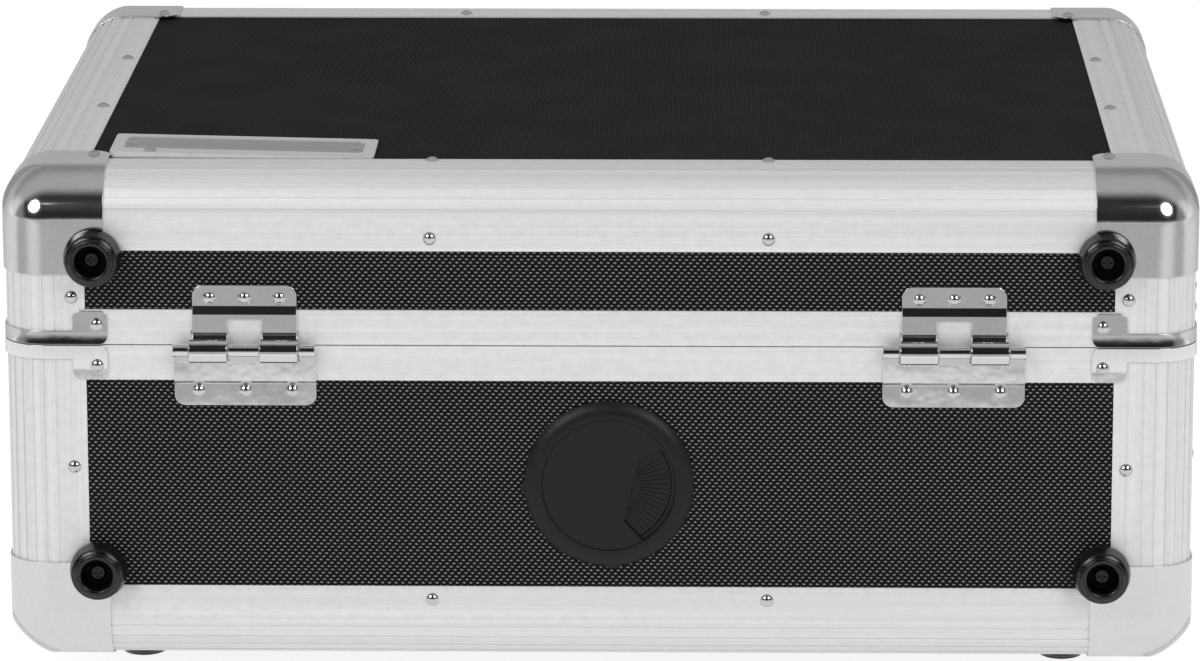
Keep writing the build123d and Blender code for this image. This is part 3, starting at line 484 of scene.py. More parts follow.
@dataclass(frozen=True)
class Foam:
    """Open-cell foam."""

    name: str
    colour: Colour = (0.042, 0.043, 0.046)
    roughness: float = 0.85
    cells: float = 700.0
    depth: float = 0.0006

    def make(self) -> Material:
        """Build the material."""
        shader = Shader(self.name, Specular_IOR_Level=0.15)
        cells = shader.node("ShaderNodeTexVoronoi", {},
                            {"Vector": shader.where(), "Scale": self.cells})
        hollow = Value(shader, cells.outputs["Distance"]).step(0.05, 0.6)
        patch = shader.noise(60, 3.0)
        # painted shade: the hollows of the cells are coloured darker
        dark = tuple(part * 0.4 for part in self.colour)
        shader.feed("Base Color", shader.tint(hollow * 0.7 + patch * 0.3, dark, self.colour))
        shader.feed("Roughness", patch * 0.1 + self.roughness)
        shader.bump(hollow, self.depth)
        return shader.material


class Finishes:
    """Every finish of the case, each made once."""

    def __init__(self) -> None:
        """Make all the materials."""
        self.rear_board = Laminate("laminate_rear", Face.REAR).make()
        self.side_board = Laminate("laminate_side", Face.SIDE).make()
        self.top_board = ShadedLaminateTop("laminate_top").make()
        self.rail_x = SatinAluminium("aluminium_x", Axis.X).make()
        self.rail_y = SatinAluminium("aluminium_y", Axis.Y).make()
        self.rail_z = SatinAluminium("aluminium_z", Axis.Z).make()
        self.chrome = Plated("bright_chrome").make()
        self.satin = Plated("satin_chrome", roughness=0.27, colour=(0.80, 0.803, 0.81)).make()
        self.corner = Plated("corner_chrome", roughness=0.13).make()
        self.strap = FlaredPlate("strap_chrome").make()
        self.base_leaf = LeaningPlate("leaf_chrome").make()
        self.rivet = Plated("rivet_chrome", roughness=0.15, colour=(0.68, 0.685, 0.695)).make()
        self.pin = Plated("zinc_pin", roughness=0.24, colour=(0.60, 0.61, 0.63)).make()
        # painted shade: the feet's screws are coloured nearly black for the shade inside the cups
        self.screw = Plated("zinc_painted_shade", roughness=0.45, colour=(0.045, 0.045, 0.048)).make()
        self.rubber = Moulded("black_rubber", (0.0035, 0.0035, 0.0038), 0.17).make()
        # painted shade: the rubber inside the feet's cups is coloured darker for the shade in the
        # hollow, and made less glossy
        self.cup = Moulded("cup_rubber_painted_shade", (0.0015, 0.0015, 0.0016), 0.60, gloss=0.08).make()
        self.outlet = Moulded("outlet_plastic", (0.0026, 0.0026, 0.0028), 0.42, gloss=0.36).make()
        self.grip = RibbedGrip("grip_plastic", (0.010, 0.010, 0.0105), 0.42).make()
        self.foam = Foam("dark_foam").make()
        self.plate = SatinAluminium("plate_aluminium", Axis.X, (0.72, 0.723, 0.73), 0.30).make()
        self.field = SatinAluminium("plate_field", Axis.X, (0.40, 0.402, 0.405), 0.38).make()


class Bench:
    """Modelling steps shared by the sub-assemblies."""

    @staticmethod
    def clear() -> None:
        """Leave edit mode and select nothing."""
        if bpy.context.object and bpy.context.object.mode != "OBJECT":
            bpy.ops.object.mode_set(mode="OBJECT")
        bpy.ops.object.select_all(action="DESELECT")

    @staticmethod
    def pick(piece: Piece) -> None:
        """Select one piece alone and make it active."""
        Bench.clear()
        piece.select_set(True)
        bpy.context.view_layer.objects.active = piece

    @staticmethod
    @contextmanager
    def editing(piece: Piece) -> Iterator[None]:
        """Edit mode on one piece, with all of it selected at first."""
        Bench.pick(piece)
        bpy.ops.object.mode_set(mode="EDIT")
        bpy.ops.mesh.select_all(action="SELECT")
        yield
        bpy.ops.object.mode_set(mode="OBJECT")

    @staticmethod
    def settle(piece: Piece, name: str) -> Piece:
        """Name a piece and put its place into its mesh.

        Args:
            piece: the piece.
            name: its name, given to its mesh too.

        Returns:
            The same piece.
        """
        Bench.pick(piece)
        bpy.ops.object.transform_apply(location=True, rotation=True, scale=True)
        piece.name = name
        piece.data.name = name
        return piece

    @staticmethod
    def smooth(piece: Piece, angle: float = CREASE) -> None:
        """Shade smooth, with creases sharper than an angle in degrees kept."""
        Bench.pick(piece)
        bpy.ops.object.shade_smooth_by_angle(angle=math.radians(angle))

    @staticmethod
    def finish(piece: Piece, kind: str, **settings: Any) -> None:
        """Add one modifier and apply it.

        Args:
            piece: the piece.
            kind: the modifier's type.
            settings: its properties.
        """
        Bench.pick(piece)
        modifier = piece.modifiers.new(kind.lower(), kind)
        for key, value in settings.items():
            setattr(modifier, key, value)
        bpy.ops.object.modifier_apply(modifier=modifier.name)

    @staticmethod
    def break_edges(piece: Piece, width: float, limit: float = 50.0,
                    angle: float = CREASE) -> None:
        """Round the sharp edges, and keep the faces between them flat in their shading.

        Args:
            piece: the piece.
            width: width of the rounded edges in millimetres, or 0.
            limit: angle in degrees from which an edge is rounded.
            angle: crease angle in degrees.
        """
        if width:
            Bench.finish(piece, "BEVEL", width=width * MM, segments=3, limit_method="ANGLE",
                         angle_limit=math.radians(limit))
        Bench.smooth(piece, angle)
        Bench.finish(piece, "WEIGHTED_NORMAL", keep_sharp=True, weight=80)

    @staticmethod
    def join(pieces: Sequence[Piece]) -> Piece:
        """Join pieces into the first of them."""
        Bench.clear()
        for piece in pieces:
            piece.select_set(True)
        bpy.context.view_layer.objects.active = pieces[0]
        if len(pieces) > 1:
            bpy.ops.object.join()
        return bpy.context.object

    @staticmethod
    def copy_node(node: str, name: str, bevel: float = 0.0, angle: float = CREASE) -> Piece:
        """Copy a frame node's mesh, merged, with its edges broken.

        Args:
            node: the frame node.
            name: the new piece's name.
            bevel: width of the broken edges in millimetres, or 0.
            angle: crease angle in degrees.

        Returns:
            The copy, which replaces the node.
        """
        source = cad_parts[node]
        piece = bpy.data.objects.new(name, source.data.copy())
        bpy.context.scene.collection.objects.link(piece)
        piece.data.name = name
        piece.data.materials.clear()
        with Bench.editing(piece):
            bpy.ops.mesh.customdata_custom_splitnormals_clear()
            bpy.ops.mesh.remove_doubles(threshold=MERGE)
            bpy.ops.mesh.dissolve_limited(angle_limit=FLAT)
        Bench.break_edges(piece, bevel, angle=angle)
        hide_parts(node)
        return piece

    @staticmethod
    def choose(piece: Piece, chosen: Callable[[Vector], bool]) -> None:
        """Go into edit mode with some of a piece's points selected.

        Args:
            piece: the piece.
            chosen: says of a point's place whether it is selected.
        """
        Bench.pick(piece)
        bpy.ops.object.mode_set(mode="EDIT")
        bpy.ops.mesh.select_mode(type="VERT")
        bpy.ops.mesh.select_all(action="DESELECT")
        bpy.ops.object.mode_set(mode="OBJECT")
        for vertex in piece.data.vertices:
            vertex.select = chosen(vertex.co)
        bpy.ops.object.mode_set(mode="EDIT")

    @staticmethod
    def lathe(name: str, outline: Sequence[Pair], steps: int) -> Piece:
        """Turn an outline round Z, ring by ring.

        Args:
            name: the piece's name.
            outline: radius and height in millimetres, from the first ring to the last; a
                radius of 0 closes an end.
            steps: number of sides.

        Returns:
            The turned piece, with its normals outwards.
        """
        pole = 0.02
        rings = [(max(radius, pole) * MM, height * MM) for radius, height in outline]
        Bench.clear()
        radius, height = rings[0]
        bpy.ops.mesh.primitive_circle_add(vertices=steps, radius=radius, fill_type="NOTHING",
                                          location=(0, 0, height))
        piece = bpy.context.object
        with Bench.editing(piece):
            if outline[0][0] == 0:
                bpy.ops.mesh.edge_face_add()
                bpy.ops.mesh.select_all(action="SELECT")
            for new_radius, new_height in rings[1:]:
                bpy.ops.mesh.extrude_edges_move(
                    TRANSFORM_OT_translate={"value": (0, 0, new_height - height)})
                share = new_radius / radius
                bpy.ops.transform.resize(value=(share, share, 1),
                                         center_override=(0, 0, new_height))
                radius, height = new_radius, new_height
            if outline[-1][0] == 0:
                bpy.ops.mesh.edge_face_add()
            bpy.ops.mesh.select_all(action="SELECT")
            bpy.ops.mesh.remove_doubles(threshold=0.000001)
            bpy.ops.mesh.normals_make_consistent(inside=False)
        return Bench.settle(piece, name)

    @staticmethod
    def spread(form: Piece, name: str, places: Sequence[Matrix]) -> Piece:
        """Copy a form to several places and join the copies.

        Args:
            form: the modelled piece, which is used up.
            name: name of the joined piece.
            places: where each copy goes.

        Returns:
            The joined piece.
        """
        copies = []
        for place in places:
            copy = form.copy()
            copy.data = form.data.copy()
            copy.data.transform(place)
            bpy.context.scene.collection.objects.link(copy)
            copies.append(copy)
        bpy.data.objects.remove(form)
        return Bench.settle(Bench.join(copies), name)


def paint_nodes(material: Material, *nodes: str) -> None:
    """Put a finish on frame nodes that stay as they are."""
    for node in nodes:
        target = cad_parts[node]
        target.data.materials.clear()
        target.data.materials.append(material)


def solid_boxes(node: str) -> list[tuple[Vector, Vector]]:
    """Find the separate solids of a frame node.

    Args:
        node: the node.

    Returns:
        The lowest and highest corner of each solid.
    """
    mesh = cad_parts[node].data
    owner: dict[tuple[int, int, int], int] = {}
    parent: list[int] = []

    def root(index: int) -> int:
        """Follow the links to a group's first point."""
        while parent[index] != index:
            parent[index] = parent[parent[index]]
            index = parent[index]
        return index

    ids = []
    for vertex in mesh.vertices:
        key = tuple(round(value / CELL) for value in vertex.co)
        if key not in owner:
            owner[key] = len(parent)
            parent.append(len(parent))
        ids.append(owner[key])
    for polygon in mesh.polygons:
        first = root(ids[polygon.vertices[0]])
        for vertex in polygon.vertices[1:]:
            parent[root(ids[vertex])] = first
    groups: dict[int, list[Vector]] = {}
    for vertex, index in zip(mesh.vertices, ids):
        groups.setdefault(root(index), []).append(vertex.co)
    boxes = []
    for points in groups.values():
        lowest = Vector(tuple(min(point[axis] for point in points) for axis in range(3)))
        highest = Vector(tuple(max(point[axis] for point in points) for axis in range(3)))
        boxes.append((lowest, highest))
    return boxes


@dataclass
class Assembly:
    """Group of pieces that belong together on the case."""

    finishes: Finishes
    made: list[Piece] = field(default_factory=list)

    def build(self) -> None:
        """Make the group's pieces, each with its finish and on its body."""
        raise NotImplementedError

    def keep(self, piece: Piece, body: str, slot: str, material: Material | None = None) -> Piece:
        """Give a new piece its finish and the body it moves with.

        Args:
            piece: the new piece.
            body: the frame body that it rides on.
            slot: not used.
            material: its finish, or None where it has its own.

        Returns:
            The same piece.
        """
        if material:
            piece.data.materials.clear()
            piece.data.materials.append(material)
        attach(piece, body)
        self.made.append(piece)
        return piece

    def remake(self, node: str, body: str, slot: str, material: Material, edge: float,
               angle: float = CREASE) -> Piece:
        """Copy a frame node with its edges broken, and keep the copy.

        Args:
            node: the frame node.
            body: the body that it rides on.
            slot: the record's material slot.
            material: its finish.
            edge: width of the broken edges in millimetres.
            angle: crease angle in degrees.

        Returns:
            The new piece.
        """
        piece = Bench.copy_node(node, f"{node}_skin", edge, angle)
        return self.keep(piece, body, slot, material)


@dataclass
class Shell(Assembly):
    """Boards, rolled rails, posts and closing profiles of both halves."""

    edge: float = 0.25
    rib_edge: float = 0.15
    rib_crease: float = 25.0
    side_width: float = 20.0

    def build(self) -> None:
        """Dress the boards and remake the extrusions."""
        looks = self.finishes
        lines = {"rear_rail": looks.rail_x, "front_rail": looks.rail_x, "left_rail": looks.rail_y,
                 "right_rail": looks.rail_y, "posts": looks.rail_z}
        for half, flat in (("base", "floor"), ("lid", "top")):
            paint_nodes(looks.rear_board, f"{half}_rear_panel", f"{half}_front_panel")
            paint_nodes(looks.side_board, f"{half}_left_panel", f"{half}_right_panel")
            paint_nodes(looks.top_board, f"{half}_{flat}_panel")
            for part, material in lines.items():
                self.remake(f"{half}_{part}", half, "satin_aluminium", material, self.rib_edge,
                            self.rib_crease)
            self._rim(half)

    def _rim(self, half: str) -> None:
        """Remake a half's four closing profiles, with lines along each.

        Args:
            half: name of the half's body.
        """
        piece = Bench.copy_node(f"{half}_rim_profiles", f"{half}_rim_skin", self.edge)
        self.keep(piece, half, "satin_aluminium", self.finishes.rail_x)
        piece.data.materials.append(self.finishes.rail_y)
        reach = max(abs(vertex.co.x) for vertex in piece.data.vertices) - self.side_width * MM
        for polygon in piece.data.polygons:
            if abs(polygon.center.x) > reach:
                polygon.material_index = 1


@dataclass
class Corners(Assembly):
    """Ball corners and the straps at the seam."""

    edge: float = 0.22
    side_roll: float = 18.95
    top_roll: float = 23.0
    alike: float = 0.86

    def build(self) -> None:
        """Remake the pressed parts with broken edges."""
        looks = {"lid": ("bright_chrome", self.finishes.corner),
                 "base": ("satin_chrome", self.finishes.satin)}
        for half, (slot, material) in looks.items():
            piece = self.remake(f"{half}_ball_corners", half, slot, material, self.edge)
            self._fill_out(piece, half)
            piece = Bench.copy_node(f"{half}_corner_straps", f"{half}_straps_skin", self.edge)
            self.keep(piece, half, "bright_chrome", self.finishes.strap)

    def _fill_out(self, piece: Piece, half: str) -> None:
        """Shade the outer skin as the fuller form that a pressed corner has.

        Args:
            piece: the four ball corners of a half.
            half: name of the half's body.
        """
        low, high = (Vector(corner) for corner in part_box(f"{half}_ball_corners"))
        side, rise = self.side_roll * MM, self.top_roll * MM
        level = high.z - rise if half == "lid" else low.z + rise
        with Bench.editing(piece):
            for share in (1.0, 0.5):
                bpy.ops.mesh.select_all(action="SELECT")
                bulge = (rise - side) * (1 - share)
                height = level + bulge if half == "lid" else level - bulge
                bpy.ops.mesh.bisect(plane_co=(0, 0, height), plane_no=(0, 0, 1))
        normals = []
        for loop, corner in zip(piece.data.loops, piece.data.corner_normals):
            point = piece.data.vertices[loop.vertex_index].co
            inner = Vector((min(max(point.x, low.x + side), high.x - side),
                            min(max(point.y, low.y + side), high.y - side),
                            min(point.z, level) if half == "lid" else max(point.z, level)))
            full = (point - inner).normalized()
            normal = corner.vector.copy()
            normals.append(full if full.dot(normal) > self.alike else normal)
        piece.data.normals_split_custom_set(normals)


@dataclass
class Fasteners(Assembly):
    """Domed rivets and the screws of the feet."""

    radius: float = 2.9
    rise: float = 1.5
    steps: int = 16
    rings: int = 5
    edge: float = 0.15

    def build(self) -> None:
        """Model one rivet and copy it to every rivet of each half."""
        for half in ("base", "lid"):
            places = [self._place(*corners) for corners in solid_boxes(f"{half}_rivets")]
            form = Bench.lathe("rivet_form", self._outline(), self.steps)
            piece = Bench.spread(form, f"{half}_rivet_heads", places)
            Bench.smooth(piece, 60)
            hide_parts(f"{half}_rivets")
            self.keep(piece, half, "rivet_steel", self.finishes.rivet)
            screws = Bench.copy_node(f"{half}_foot_screws", f"{half}_foot_screw_heads", self.edge)
            self.keep(screws, half, "pin_steel", self.finishes.screw)

    def _outline(self) -> list[Pair]:
        """Outline of a domed head, from its rim to its top."""
        dome = (self.radius ** 2 + self.rise ** 2) / (2 * self.rise)
        spread = math.asin(self.radius / dome)
        points = [(self.radius, 0.0)]
        for ring in range(1, self.rings + 1):
            angle = spread * (1 - ring / self.rings)
            points.append((dome * math.sin(angle), dome * math.cos(angle) - dome + self.rise))
        return points

    @staticmethod
    def _place(lowest: Vector, highest: Vector) -> Matrix:
        """Place of a rivet, from the box of its solid in the frame.

        Args:
            lowest: lowest corner.
            highest: highest corner.

        Returns:
            A matrix that stands the modelled rivet on its face, pointing outwards.
        """
        centre = (lowest + highest) / 2
        size = highest - lowest
        axis = min(range(3), key=lambda index: size[index])
        middle = (cad_box[0][axis] + cad_box[1][axis]) / 2
        sign = 1 if centre[axis] > middle else -1
        outward = Vector((0, 0, 0))
        outward[axis] = sign
        foot = centre.copy()
        foot[axis] = lowest[axis] if sign > 0 else highest[axis]
        turn = outward.to_track_quat("Z", "Y").to_matrix().to_4x4()
        return Matrix.Translation(foot) @ turn


@dataclass
class Feet(Assembly):
    """Rubber cup feet under the base and on the rear."""

    steps: int = 56
    cup_radius: float = 6.55
    back: float = 1.0

    def build(self) -> None:
        """Model one foot and copy it to every foot."""
        for node in ("base_bottom_feet", "base_rear_feet", "lid_rear_feet"):
            stand = self._under if node == "base_bottom_feet" else self._behind
            places = [stand(*corners) for corners in solid_boxes(node)]
            form = Bench.lathe("foot_form", self._outline(), self.steps)
            form.data.materials.append(self.finishes.rubber)
            form.data.materials.append(self.finishes.cup)
            # painted shade: faces deep inside the cup get the darker rubber
            for face in form.data.polygons:
                centre = face.center
                inside = math.hypot(centre.x, centre.y) < self.cup_radius * MM
                face.material_index = int(inside and centre.z > self.back * MM)
            piece = Bench.spread(form, f"{node}_rubber", places)
            Bench.smooth(piece, 40)
            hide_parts(node)
            self.keep(piece, node.split("_")[0], "black_rubber")

    @staticmethod
    def _outline() -> list[Pair]:
        """Outline of a foot, from its back out round the mouth and into the cup."""
        return [(0.0, 0.0), (11.9, 0.0), (12.2, 0.3), (12.2, 3.0), (12.0, 3.4), (11.3, 8.2),
                (11.0, 8.9), (10.5, 9.4), (9.9, 9.6), (9.6, 9.8), (9.5, 10.2), (9.2, 10.7),
                (8.6, 11.0), (7.6, 11.0), (7.1, 10.8), (6.7, 10.2), (6.5, 9.4), (5.9, 3.2),
                (0.0, 3.2)]

    @staticmethod
    def _under(lowest: Vector, highest: Vector) -> Matrix:
        """Place of a foot whose mouth points down."""
        centre = (lowest + highest) / 2
        turn = Matrix.Rotation(math.pi, 4, "X")
        return Matrix.Translation((centre.x, centre.y, highest.z)) @ turn

    @staticmethod
    def _behind(lowest: Vector, highest: Vector) -> Matrix:
        """Place of a foot whose mouth points to the rear."""
        centre = (lowest + highest) / 2
        turn = Matrix.Rotation(math.pi / 2, 4, "X")
        return Matrix.Translation((centre.x, highest.y, centre.z)) @ turn


@dataclass
class Hardware(Assembly):
    """Hinges, latches and handle fittings, remade from the frame with broken edges."""

    edge: float = 0.36
    step_at: float = 155.0
    sheet_deep: float = 1.35
    step_moves: tuple[tuple[float, float, float], ...] = (
        (163.3, 163.7, -1.3), (164.9, 165.3, 0.6), (154.9, 155.4, -1.7))

    def build(self) -> None:
        """Remake every metal fitting."""
        chrome = ("bright_chrome", self.finishes.chrome, self.edge)
        pin = ("pin_steel", self.finishes.pin, self.edge)
        for side in ("left", "right"):
            self.remake(f"{side}_hinge_base_leaf", "base", "bright_chrome",
                        self.finishes.base_leaf, self.edge)
            self._lid_leaf(f"{side}_hinge_lid_leaf")
            self.remake(f"{side}_latch_plate", "base", *chrome)
            self.remake(f"{side}_latch_keeper", "lid", *chrome)
            self.remake(f"{side}_latch_lever", f"{side}_lever", *chrome)
            self.remake(f"{side}_latch_claw", f"{side}_claw", *chrome)
            self.remake(f"{side}_claw_pin", f"{side}_lever", *pin)
        self.remake("hinge_pins", "base", *pin)
        self.remake("latch_stub_pins", "base", *pin)
        self.remake("handle_brackets", "base", *chrome)
        self.remake("handle_pins", "base", *pin)
        self.remake("handle_bail", "handle", *pin)

    def _lid_leaf(self, node: str) -> None:
        """Remake a lid leaf with the drawn-out step that the pressed one has.

        Args:
            node: the frame node.
        """
        piece = self.remake(node, "lid", "bright_chrome", self.finishes.chrome, 0.0)
        points = [vertex.co for vertex in piece.data.vertices]
        outside = min(point.y for point in points if point.z > self.step_at * MM)
        for low, high, shift in self.step_moves:
            Bench.choose(piece, lambda point: low * MM < point.z < high * MM
                         and point.y < outside + self.sheet_deep * MM)
            bpy.ops.transform.translate(value=(0, 0, shift * MM))
            bpy.ops.object.mode_set(mode="OBJECT")
        Bench.break_edges(piece, self.edge, limit=40.0)


@dataclass
class Outlet(Assembly):
    """Cable outlet: ring, cut cover plate and turning shutter."""

    edge: float = 0.15

    def build(self) -> None:
        """Remake the outlet's three moulded parts."""
        for node, body in (("cable_outlet_ring", "base"), ("cable_outlet_plate", "base"),
                           ("cable_outlet_shutter", "shutter")):
            self.remake(node, body, "outlet_plastic", self.finishes.outlet, self.edge)


@dataclass
class Trim(Assembly):
    """Bare name plate and the handle's grip."""

    plate_edge: float = 0.15
    grip_edge: float = 0.6
    field_deep: Pair = (0.3, 0.9)
    lip_wide: float = 0.9
    lip_deep: float = 1.0

    def build(self) -> None:
        """Remake both parts."""
        plate = self.remake("badge_plate", "lid", "plate_aluminium", self.finishes.plate,
                            self.plate_edge)
        plate.data.materials.append(self.finishes.field)
        self._field(plate)
        self._lip(plate)
        self.remake("handle_grip", "handle", "grip_plastic", self.finishes.grip, self.grip_edge)

    def _field(self, plate: Piece) -> None:
        """Give the sunk field inside the plate's border the second finish.

        Args:
            plate: the name plate, whose first finish stays on the border.
        """
        upper, _, highest = self._upper(plate)
        least, most = (depth * MM for depth in self.field_deep)
        for face in upper:
            if least < highest - face.normal.dot(face.center) < most:
                face.material_index = 1

    @staticmethod
    def _upper(plate: Piece) -> tuple[list[Any], Vector, float]:
        """The plate's upward faces, their normal and how far out the border lies."""
        upper = [face for face in plate.data.polygons if face.normal.z > 0.995]
        normal = max(upper, key=lambda face: face.area).normal.copy()
        return upper, normal, max(normal.dot(face.center) for face in upper)

    def _lip(self, plate: Piece) -> None:
        """Fold the plate's near edge down to the board.

        Args:
            plate: the name plate.
        """
        _, normal, highest = self._upper(plate)
        near = min(vertex.co.y for vertex in plate.data.vertices)
        lowest = min(vertex.co.z for vertex in plate.data.vertices)
        Bench.choose(plate, lambda point: point.y < near + self.lip_wide * MM
                     and highest - normal.dot(point) > self.lip_deep * MM)
        bpy.ops.transform.resize(value=(1, 1, 0), center_override=(0, 0, lowest))
        bpy.ops.object.mode_set(mode="OBJECT")


@dataclass
class Lining(Assembly):
    """Foam pads of the base and the lid."""

    cuts: int = 22
    edge: float = 2.2
    hollows: float = 0.045
    sink: float = 1.3

    def build(self) -> None:
        """Model each pad inside the space that its frame solid holds."""
        for node in ("base_floor_foam", "base_wall_foam", "lid_top_foam"):
            pads = [self._pad(*corners) for corners in solid_boxes(node)]
            piece = Bench.settle(Bench.join(pads), f"{node}_pads")
            Bench.smooth(piece, 60)
            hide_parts(node)
            self.keep(piece, node.split("_")[0], "dark_foam", self.finishes.foam)

    def _pad(self, lowest: Vector, highest: Vector) -> Piece:
        """One foam pad with rounded edges, sunk a little more in some places than in others.

        Args:
            lowest: lowest corner.
            highest: highest corner.

        Returns:
            The pad.
        """
        Bench.clear()
        bpy.ops.mesh.primitive_cube_add(size=1, location=(lowest + highest) / 2)
        pad = bpy.context.object
        pad.scale = highest - lowest
        Bench.settle(pad, "pad")
        with Bench.editing(pad):
            bpy.ops.mesh.subdivide(number_cuts=self.cuts)
            bpy.ops.mesh.select_all(action="DESELECT")
            bpy.ops.mesh.edges_select_sharp(sharpness=math.radians(60))
            bpy.ops.mesh.bevel(offset=self.edge * MM, segments=3)
        cells = bpy.data.textures.new("foam_cells", "CLOUDS")
        cells.noise_scale = self.hollows
        Bench.finish(pad, "DISPLACE", texture=cells, strength=self.sink * MM, mid_level=1.0)
        return pad


@dataclass
class Studio:
    """Camera at the photograph's place, pale floor and soft light.

    A pair of numbers is where a smooth step starts and ends. It is in degrees from the rear for
    the front, middle and back of the ceiling, the stripe, the gleam and the flank, a share of a
    direction for ceiling_end, wall and stripe_top, and else in millimetres on the floor.
    """

    eye: Point = (0.0557, -2.7379, 0.7556)
    yaw: float = -1.25
    pitch: float = 13.321
    roll: float = -0.107
    lens: float = 184.98
    ceiling_front: Pair = (-1.0, 6.0)
    ceiling_middle: Pair = (54.0, 82.0)
    ceiling_back: Pair = (135.0, 166.0)
    ceiling_dark: float = 0.98
    middle_lift: float = 0.43
    back_lift: float = 0.45
    ceiling_end: Pair = (0.76, 0.93)
    end_lift: float = 0.6
    wall: Pair = (0.2, 0.9)
    rear_dark: float = 0.30
    front_dark: float = 0.48
    stripe_in: Pair = (50, 62)
    stripe_out: Pair = (78, 92)
    stripe_top: Pair = (0.3, 0.6)
    stripe_dark: float = 0.55
    soft: float = 0.62
    floor_white: float = 0.9
    white: float = 1.14
    glow_share: float = 0.78
    far_dark: float = 0.42
    far_in: Pair = (745, 850)
    far_out: Pair = (870, 980)
    far_fade: float = 0.1
    gleam_in: Pair = (14, 34)
    gleam_out: Pair = (38, 58)
    gleam_dark: float = 0.33
    flank_in: Pair = (66, 79)
    flank_out: Pair = (92, 138)
    flank_fade: float = 0.7
    flank_dark: float = 0.36
    contact: Pair = (430, 640)
    contact_dark: float = 0.14
    front: Pair = (150, 350)
    front_near_dark: float = 0.3
    lamp_place: Point = (1.28, -1.83, 1.47)
    lamp_size: float = 1.15
    lamp_aim: Point = (0, -0.1, 0.12)
    left_power: float = 18.0
    right_power: float = 16.4

    def build(self) -> None:
        """Make the camera, the lamps, the world and the floor."""
        self._camera()
        self._world()
        self._floor()
        self._lamp("left_lamp", -1, self.left_power)
        self._lamp("right_lamp", 1, self.right_power)

    def _camera(self) -> None:
        """Place the camera as the photograph's was solved to be."""
        yaw, pitch, roll = (math.radians(part) for part in (self.yaw, self.pitch, self.roll))
        ahead = Vector((math.sin(yaw) * math.cos(pitch), math.cos(yaw) * math.cos(pitch),
                        -math.sin(pitch)))
        right = Vector((math.cos(yaw), -math.sin(yaw), 0))
        up = right.cross(ahead)
        turned = right * math.cos(roll) + up * math.sin(roll)
        upright = up * math.cos(roll) - right * math.sin(roll)
        columns = Matrix((turned, upright, -ahead)).transposed().to_4x4()
        lens = bpy.data.cameras.new("photo_camera")
        lens.lens = self.lens
        lens.sensor_width = 36
        lens.clip_end = 50
        camera = bpy.data.objects.new("photo_camera", lens)
        camera.matrix_world = Matrix.Translation(self.eye) @ columns
        bpy.context.scene.collection.objects.link(camera)
        bpy.context.scene.camera = camera

    def _world(self) -> None:
        """Plain light from all round, white to the camera, with a dark ceiling in reflections."""
        world = bpy.data.worlds.new("studio")
        bpy.context.scene.world = world
        world.use_nodes = True
        graph = Graph(world.node_tree)
        side, depth, height = graph.axes("Generated")
        side = side.apply("ABSOLUTE")
        rise = height.apply("ARCTAN2", depth * -1) * DEGREES
        lifted = rise.step(*self.ceiling_middle) * self.middle_lift \
            + rise.step(*self.ceiling_back) * self.back_lift
        ceiling = rise.step(*self.ceiling_front) * (self.ceiling_dark - lifted) \
            * (1 - side.step(*self.ceiling_end) * self.end_lift)
        swing = side.apply("ARCTAN2", depth * -1) * DEGREES
        stripe = swing.step(*self.stripe_in) * (1 - swing.step(*self.stripe_out)) \
            * (1 - height.step(*self.stripe_top))
        walls = (depth * -1).step(*self.wall) * self.rear_dark \
            + depth.step(*self.wall) * self.front_dark
        mirrored = (1 - ceiling) * (1 - walls) * (1 - stripe * self.stripe_dark)
        mirror = graph.light_path("Is Glossy Ray")
        level = mirrored * mirror + (1 - mirror) * self.soft
        seen = graph.seen()
        level = level * (1 - seen) + seen
        graph.tree.links.new(level.socket, graph.tree.nodes["Background"].inputs[1])
        graph.tree.nodes["Background"].inputs[0].default_value = (1.0, 1.0, 1.0, 1.0)

    def _floor(self) -> None:
        """Pale floor that carries the shadow, white to the camera and grey near it in mirrors."""
        Bench.clear()
        bpy.ops.mesh.primitive_plane_add(size=30, location=(0, 0, -0.0005))
        floor = Bench.settle(bpy.context.object, "studio_floor")
        shader = Shader("studio_floor", Roughness=0.9, Specular_IOR_Level=0.0)
        shader.surface.inputs["Base Color"].default_value = (*[self.floor_white] * 3, 1)
        side, depth, _ = shader.place()
        swing = side.apply("ABSOLUTE").apply("ARCTAN2", depth * -1) * DEGREES
        gleam = swing.step(*self.gleam_in) * (1 - swing.step(*self.gleam_out))
        flank = swing.step(*self.flank_in) * (1 - swing.step(*self.flank_out) * self.flank_fade)
        radius = (side * side + depth * depth).apply("SQRT")
        away = radius.step(*self.far_in) * (1 - radius.step(*self.far_out) * self.far_fade)
        far = away * (1 - self.far_dark - gleam * self.gleam_dark - flank * self.flank_dark)
        # painted shadow: in mirrors the floor is darker round the case
        dark = far + (1 - radius.step(*self.contact)) * self.contact_dark \
            + depth.step(*self.front) * (1 - away) * self.front_near_dark
        mirror = shader.light_path("Is Glossy Ray")
        seen = shader.seen()
        glow = shader.node("ShaderNodeEmission", {}, {
            "Strength": seen * self.white + mirror * (1 - dark)})
        share = (seen * self.glow_share + mirror).apply("MINIMUM", 1.0)
        mixed = shader.node("ShaderNodeMixShader", {}, {
            0: share, 1: shader.surface.outputs[0], 2: glow.outputs[0]})
        output = shader.tree.nodes["Material Output"]
        shader.tree.links.new(mixed.outputs[0], output.inputs["Surface"])
        floor.data.materials.append(shader.material)

    def _lamp(self, name: str, side: int, power: float) -> None:
        """Soft round lamp aimed at the case.

        Args:
            name: the lamp's name.
            side: -1 on the left, 1 on the right.
            power: its power in watts.
        """
        light = bpy.data.lights.new(name, "AREA")
        light.shape = "DISK"
        light.size = self.lamp_size
        light.energy = power
        lamp = bpy.data.objects.new(name, light)
        out, back, up = self.lamp_place
        lamp.location = (side * out, back, up)
        aim = Vector(self.lamp_aim) - lamp.location
        lamp.rotation_euler = aim.to_track_quat("-Z", "Y").to_euler()
        bpy.context.scene.collection.objects.link(lamp)


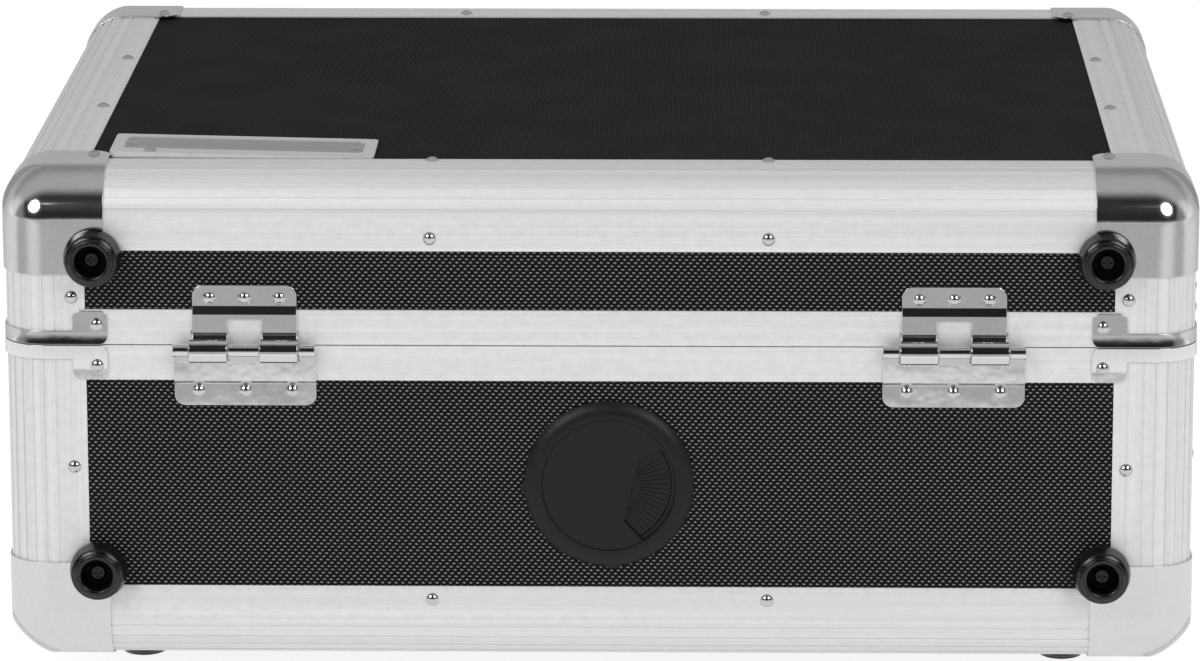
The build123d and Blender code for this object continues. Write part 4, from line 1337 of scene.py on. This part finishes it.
def main() -> None:
    """Build every sub-assembly, then the studio."""
    logging.basicConfig(level=logging.INFO, format="%(name)s: %(message)s")
    finishes = Finishes()
    for kind in (Shell, Corners, Fasteners, Feet, Hardware, Outlet, Trim, Lining):
        group = kind(finishes)
        group.build()
        for piece in group.made:
            log.info("%s: %s, %d faces", kind.__name__, piece.name, len(piece.data.polygons))
    bpy.context.scene.view_settings.view_transform = "Standard"
    Studio().build()
    Bench.clear()


if __name__ == "__main__":
    main()
